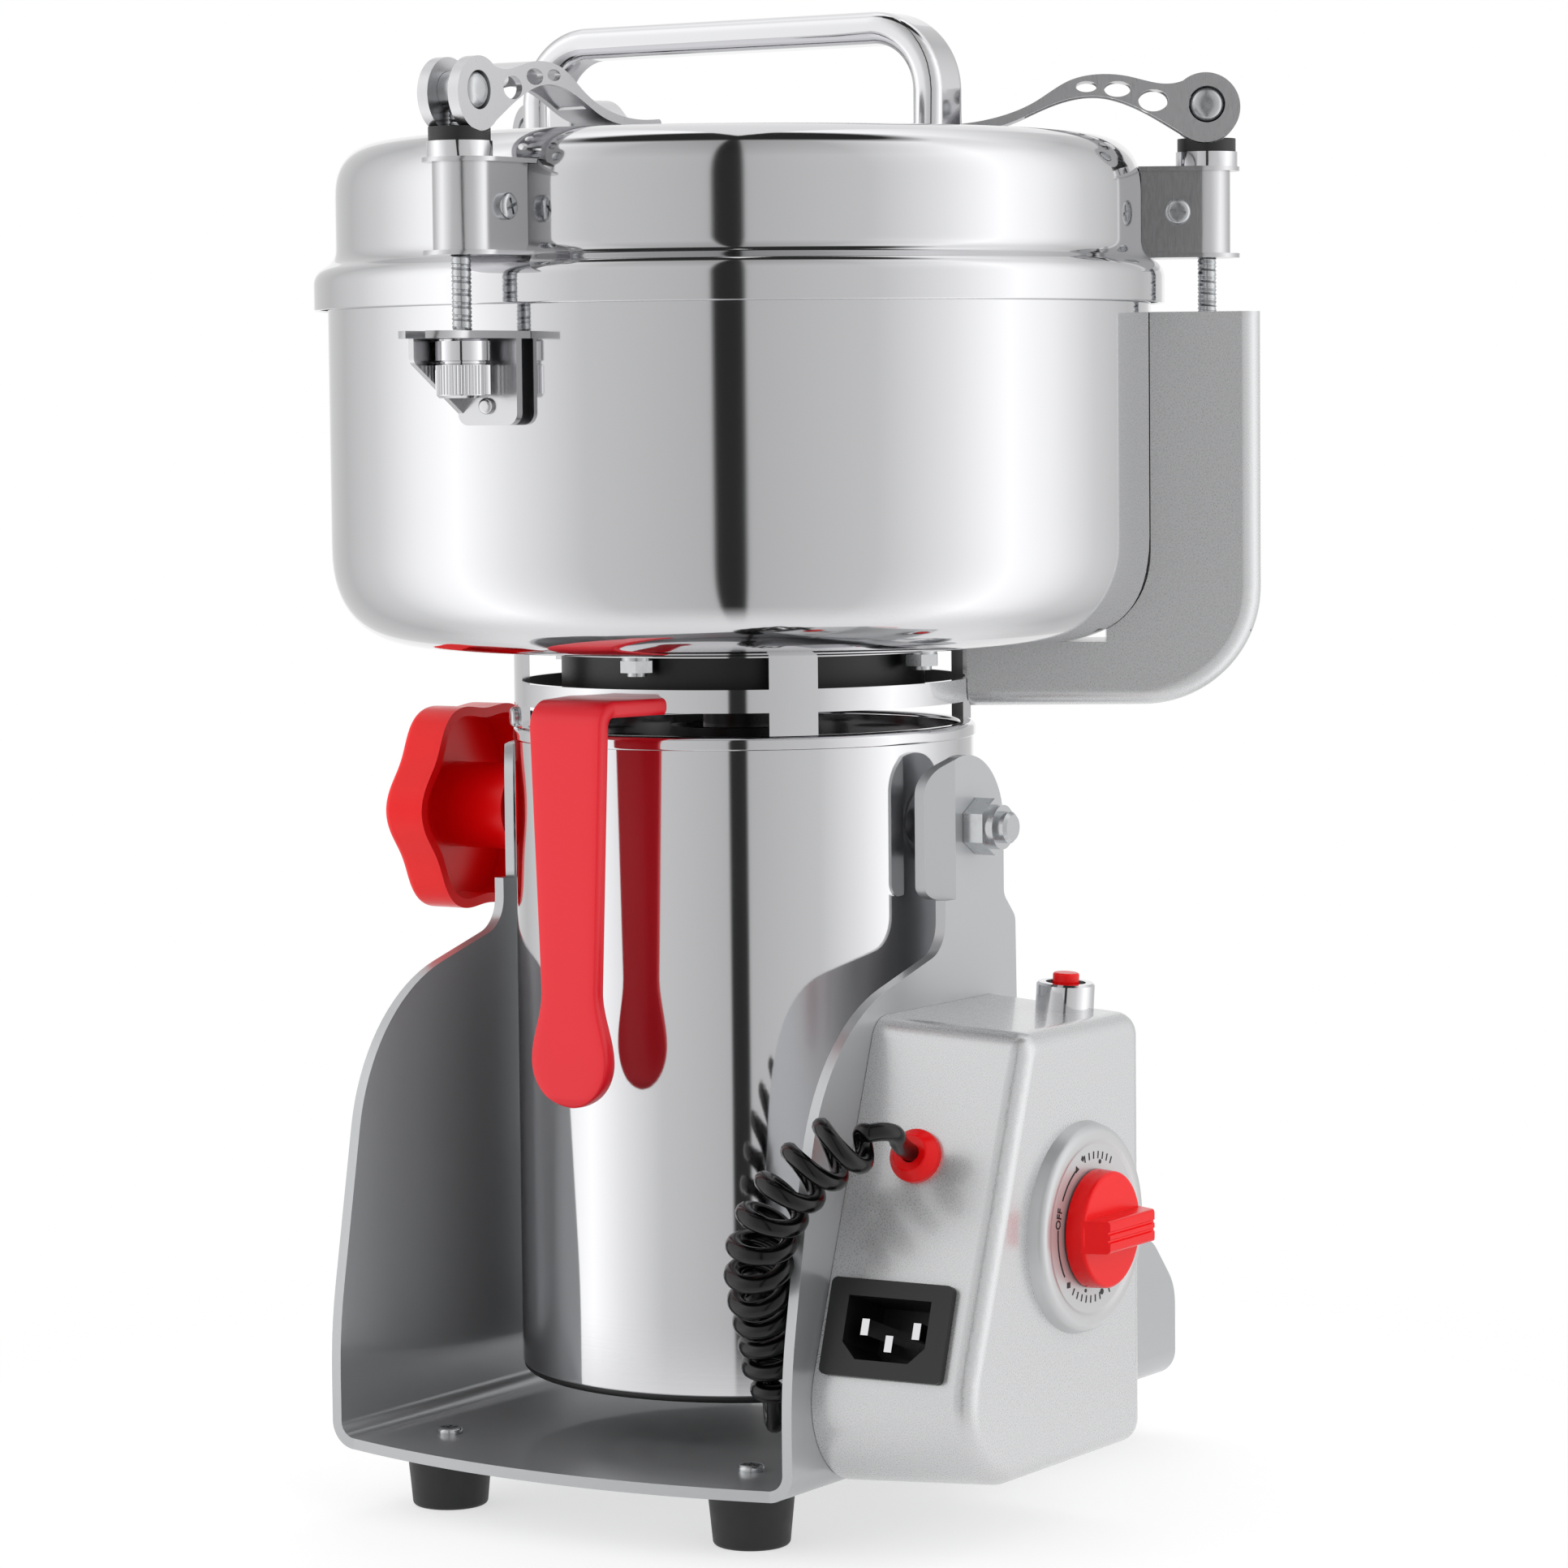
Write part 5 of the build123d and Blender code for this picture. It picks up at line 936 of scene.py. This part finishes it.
def word_mark(word, angle, radius, size):
    """A printed word that reads along the dial's edge, from below upwards."""
    text = bpy.data.curves.new("word", "FONT")
    text.body = word
    text.size = size
    text.extrude = MARK_T
    text.offset = 0.03 * MM
    text.align_x, text.align_y = "CENTER", "CENTER"
    piece = bpy.data.objects.new("word", text)
    bpy.context.scene.collection.objects.link(piece)
    mesh = shown_mesh(piece)
    form = bmesh.new()
    form.from_mesh(mesh)
    bpy.data.objects.remove(piece)
    turn = radians(angle)
    form.transform(Matrix.Rotation(turn - radians(90), 4, "Z"))
    return moved(form, radius * cos(turn), radius * sin(turn), 0)


def ticks(count, first, step, radius, long, wide=0.32 * MM):
    """A run of printed ticks, starting at an angle in degrees."""
    return pattern_form(TICKS, {
        "Count": count, "Radius": radius, "First": radians(first), "Step": radians(step),
        "Bar": (long, wide, 2 * MARK_T), "Material": INK})


def dial_marks():
    """The dial's print: two arcs, an arrowhead, OFF, and the ticks and dots of its scale."""
    marks = [
        arc_mark(118, 150, MARK_R, 0.42 * MM), arc_mark(-186, -145, MARK_R, 0.42 * MM),
        spot_mark(117, MARK_R, 1.0 * MM, 3), word_mark("OFF", 165, MARK_R, 3.0 * MM),
        ticks(7, 61, 7, MARK_R + 0.6 * MM, 1.8 * MM), ticks(7, -125, 7.5, MARK_R, 1.8 * MM),
        ticks(2, -65, 52, MARK_R, 2.6 * MM), ticks(5, -50, 22, MARK_R, 1.4 * MM),
        spot_mark(106, MARK_R + 1.1 * MM, 0.75 * MM, 4), spot_mark(78, MARK_R - 1.0 * MM, 0.55 * MM),
        spot_mark(-135, MARK_R, 1.0 * MM, 4), spot_mark(-76, MARK_R - 0.6 * MM, 0.75 * MM),
        spot_mark(-105, MARK_R - 2.0 * MM, 0.45 * MM),
    ]
    form = dial_place(joined(*marks))
    seat(piece_of(form, "dial_marks", INK), "stand", "dial_grey")


def timer_knob():
    """Red knob: a tapered disc with a grip bar that narrows to its ends and has two grooves."""
    base = DIAL_HIGH.x + 0.1 * MM
    disc = turned([
        (0, 0), (KNOB_R, 0), (KNOB_R - 0.3 * MM, KNOB_T, 0.9 * MM), (0, KNOB_T)], 120)
    rise = KNOB_HIGH.x - base - KNOB_T
    half, groove, lip = BAR_HALF, 0.45 * MM, 0.5 * MM
    section = rounded_path([
        (-half, -1 * MM), (-half, rise, 0.9 * MM), (-1.5 * MM, rise), (-1.2 * MM, rise - groove),
        (-0.8 * MM, rise - groove), (-lip, rise), (lip, rise), (0.8 * MM, rise - groove),
        (1.2 * MM, rise - groove), (1.5 * MM, rise), (half, rise, 0.9 * MM), (half, -1 * MM)], 15)
    bar = bmesh.new()
    rows = []
    for end in (-1, 1):
        row = []
        for across, up in section:
            reach = KNOB_R - 0.5 * MM - BAR_TAPER * max(up, 0) / rise
            row.append(bar.verts.new((-across, end * reach, KNOB_T + up)))
        rows.append(row)
    for i in range(len(section)):
        j = (i + 1) % len(section)
        bar.faces.new((rows[0][i], rows[0][j], rows[1][j], rows[1][i]))
    bar.faces.new(rows[0])
    bar.faces.new(rows[1])
    form = along_x(joined(disc, bar), base, DIAL_Y, DIAL_Z)
    seat(piece_of(form, "grip_knob", RED), "timer_dial", "red_plastic", "timer_knob")


dial_plate()
dial_marks()
timer_knob()

# ---------------------------------------------------------------- room, light and camera
VIEW_TURN = 33.417        # degrees from the front towards +X
VIEW_REACH = 1329.5 * MM
VIEW_HEIGHT = 280.8 * MM
VIEW_YAW, VIEW_DROP, VIEW_ROLL = 0.44, 4.304, -0.57
LENS = 118.06


def photo_camera():
    """The camera at the studio's viewing place."""
    turn = radians(VIEW_TURN)
    forward = Vector((-sin(turn), cos(turn), 0))
    right = Vector((cos(turn), sin(turn), 0))
    up = Vector((0, 0, 1))
    yaw, drop, roll = radians(VIEW_YAW), radians(VIEW_DROP), radians(VIEW_ROLL)
    forward, right = cos(yaw) * forward + sin(yaw) * right, cos(yaw) * right - sin(yaw) * forward
    forward, up = cos(drop) * forward - sin(drop) * up, cos(drop) * up + sin(drop) * forward
    right, up = cos(roll) * right + sin(roll) * up, cos(roll) * up - sin(roll) * right
    data = bpy.data.cameras.new("camera")
    data.lens = LENS
    data.sensor_width = 36
    data.clip_end = 20
    camera = bpy.data.objects.new("camera", data)
    place = Matrix((right, up, -forward)).transposed().to_4x4()
    place.translation = Vector((VIEW_REACH * sin(turn), -VIEW_REACH * cos(turn), VIEW_HEIGHT))
    camera.matrix_world = place
    bpy.context.scene.collection.objects.link(camera)
    bpy.context.scene.camera = camera


def light_tent():
    """A white tent: bright sides, a dark slit by the lens, a dark gap in the roof and a pale back."""
    world = bpy.data.worlds.new("light tent")
    bpy.context.scene.world = world
    world.use_nodes = True
    tree = world.node_tree
    tree.nodes.clear()
    coords = add(tree, "ShaderNodeTexCoord")
    towards = add(tree, "ShaderNodeMapping", {
        "Vector": coords.outputs["Generated"], "Rotation": (0, 0, radians(90 - VIEW_TURN + SLIT_ASIDE))})
    axes = add(tree, "ShaderNodeSeparateXYZ", {"Vector": towards.outputs["Vector"]})
    azimuth = add(tree, "ShaderNodeMath", {0: axes.outputs["Y"], 1: axes.outputs["X"]}, operation="ARCTAN2")
    aside = add(tree, "ShaderNodeMath", {0: azimuth.outputs[0]}, operation="ABSOLUTE")
    share = add(tree, "ShaderNodeMath", {0: aside.outputs[0], 1: pi}, operation="DIVIDE")
    walls = add(tree, "ShaderNodeValToRGB", {"Fac": share.outputs[0]})
    ramp = walls.color_ramp
    shades = [(degree / 180, (shade,) * 3 + (1,)) for degree, shade in WALL_SHADES]
    ramp.elements[0].position, ramp.elements[0].color = shades[0]
    ramp.elements[1].position, ramp.elements[1].color = shades[-1]
    for position, shade in shades[1:-1]:
        ramp.elements.new(position).color = shade
    fade = add(tree, "ShaderNodeMapRange", {
        "Value": axes.outputs["Z"], "From Min": ROOF_FROM, "From Max": ROOF_FULL, "To Min": 1.0,
        "To Max": ROOF_FRONT})
    front = add(tree, "ShaderNodeVectorMath", {
        0: walls.outputs["Color"], "Scale": fade.outputs["Result"]}, operation="SCALE")
    rearward = add(tree, "ShaderNodeMapRange", {
        "Value": axes.outputs["X"], "From Min": REAR_FROM, "From Max": REAR_FULL})
    lift = add(tree, "ShaderNodeMapRange", {
        "Value": axes.outputs["Z"], "From Min": ROOF_FROM, "From Max": REAR_ROOF_FULL})
    rear = add(tree, "ShaderNodeMath", {
        0: lift.outputs["Result"], 1: rearward.outputs["Result"]}, operation="MULTIPLY")
    roofed = add(tree, "ShaderNodeMix", {
        "Factor": rear.outputs[0], "A": front.outputs["Vector"], "B": (ROOF_REAR,) * 3 + (1,)},
        data_type="RGBA")
    gap_at = add(tree, "ShaderNodeVectorMath", {
        0: towards.outputs["Vector"], 1: (1 / GAP_DEEP, 1 / GAP_WIDE, 0)}, operation="MULTIPLY")
    gap_far = add(tree, "ShaderNodeVectorMath", {0: gap_at.outputs[0]}, operation="LENGTH")
    gap = add(tree, "ShaderNodeMapRange", {
        "Value": gap_far.outputs["Value"], "From Min": GAP_CORE, "From Max": GAP_EDGE})
    below = add(tree, "ShaderNodeMath", {0: axes.outputs["Z"], 1: 0.0}, operation="LESS_THAN")
    kept = add(tree, "ShaderNodeMath", {0: gap.outputs["Result"], 1: below.outputs[0]}, operation="MAXIMUM")
    light = add(tree, "ShaderNodeMix", {
        "Factor": kept.outputs[0], "A": (DARK,) * 3 + (1,), "B": roofed.outputs["Result"]},
        data_type="RGBA")
    seen = add(tree, "ShaderNodeLightPath")
    strength = add(tree, "ShaderNodeMapRange", {
        "Value": seen.outputs["Is Diffuse Ray"], "To Min": 1.0, "To Max": DIFFUSE_LIFT})
    tent = add(tree, "ShaderNodeBackground", {
        "Color": light.outputs["Result"], "Strength": strength.outputs["Result"]})
    backdrop = add(tree, "ShaderNodeBackground", {"Color": (1, 1, 1, 1), "Strength": 1.0})
    behind = add(tree, "ShaderNodeMath", {0: share.outputs[0], 1: BACKDROP_FROM}, operation="GREATER_THAN")
    mirrored = add(tree, "ShaderNodeMath", {
        0: seen.outputs["Is Glossy Ray"], 1: seen.outputs["Is Transmission Ray"]}, operation="MAXIMUM")
    in_mirror = add(tree, "ShaderNodeMath", {
        0: mirrored.outputs[0], 1: behind.outputs[0]}, operation="MULTIPLY")
    white = add(tree, "ShaderNodeMath", {
        0: seen.outputs["Is Camera Ray"], 1: in_mirror.outputs[0]}, operation="MAXIMUM")
    mixed = add(tree, "ShaderNodeMixShader", {
        0: white.outputs[0], 1: tent.outputs[0], 2: backdrop.outputs[0]})
    add(tree, "ShaderNodeOutputWorld", {"Surface": mixed.outputs[0]})


DARK = 0.03               # light of the slit and of the gap
# degrees from the slit, and the light there
WALL_SHADES = [
    (0, DARK), (4.0, DARK), (5.0, 0.62), (40, 0.76), (62, 1.1), (82, 1.5), (98, 1.28), (118, 0.88),
    (140, 0.64), (158, 0.72), (180, 1.0)]
SLIT_ASIDE = 3.0          # degrees that the slit stands left of the lens
ROOF_FRONT, ROOF_REAR = 0.72, 1.4
ROOF_FROM, ROOF_FULL, REAR_ROOF_FULL = 0.55, 0.95, 0.93    # heights between which walls turn to roof
REAR_FROM, REAR_FULL = -0.05, -0.3    # how far back the roof's rear light starts, and is full
GAP_DEEP, GAP_WIDE = 0.26, 0.5
GAP_CORE, GAP_EDGE = 0.8, 1.1         # shares of the gap's size between which it fades
BACKDROP_FROM = 165 / 180
DIFFUSE_LIFT = 1.3


def floor():
    """A round white tabletop that keeps the mill's soft shadow and fades into the backdrop."""
    disc = bmesh.new()
    bmesh.ops.create_circle(disc, cap_ends=True, segments=96, radius=FLOOR_R)
    mesh = bpy.data.meshes.new("floor")
    disc.to_mesh(mesh)
    disc.free()
    top = bpy.data.objects.new("floor", mesh)
    bpy.context.scene.collection.objects.link(top)
    material = bpy.data.materials.new("white tabletop")
    material.use_nodes = True
    tree = material.node_tree
    tree.nodes.clear()
    board = add(tree, "ShaderNodeBsdfDiffuse", {"Color": (0.5, 0.5, 0.5, 1)})
    glow = add(tree, "ShaderNodeEmission", {"Color": (1, 1, 1, 1), "Strength": FLOOR_GLOW})
    both = add(tree, "ShaderNodeAddShader", {0: board.outputs[0], 1: glow.outputs[0]})
    coords = add(tree, "ShaderNodeTexCoord")
    far = add(tree, "ShaderNodeVectorMath", {0: coords.outputs["Object"]}, operation="LENGTH")
    out = add(tree, "ShaderNodeMapRange", {
        "Value": far.outputs["Value"], "From Min": FADE_FROM, "From Max": FADE_TO},
        interpolation_type="SMOOTHSTEP")
    clear = add(tree, "ShaderNodeBsdfTransparent")
    seen = add(tree, "ShaderNodeLightPath")
    mirrored = add(tree, "ShaderNodeMath", {
        0: seen.outputs["Is Glossy Ray"], 1: seen.outputs["Is Transmission Ray"]}, operation="MAXIMUM")
    white = add(tree, "ShaderNodeMath", {
        0: seen.outputs["Is Camera Ray"], 1: mirrored.outputs[0]}, operation="MAXIMUM")
    mixed = add(tree, "ShaderNodeMixShader", {0: white.outputs[0], 1: board.outputs[0], 2: both.outputs[0]})
    faded = add(tree, "ShaderNodeMixShader", {
        0: out.outputs["Result"], 1: mixed.outputs[0], 2: clear.outputs[0]})
    add(tree, "ShaderNodeOutputMaterial", {"Surface": faded.outputs[0]})
    mesh.materials.append(material)
    top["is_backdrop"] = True


FLOOR_R, FLOOR_GLOW = 0.36, 0.6
FADE_FROM, FADE_TO = 0.14, 0.34       # metres from the middle between which it fades out


photo_camera()
light_tent()
floor()

bpy.context.scene.view_settings.view_transform = "Standard"
boxes = {"cad": cad_box, "visual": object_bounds()}
{name: [list(corner) for corner in box] for name, box in boxes.items()}
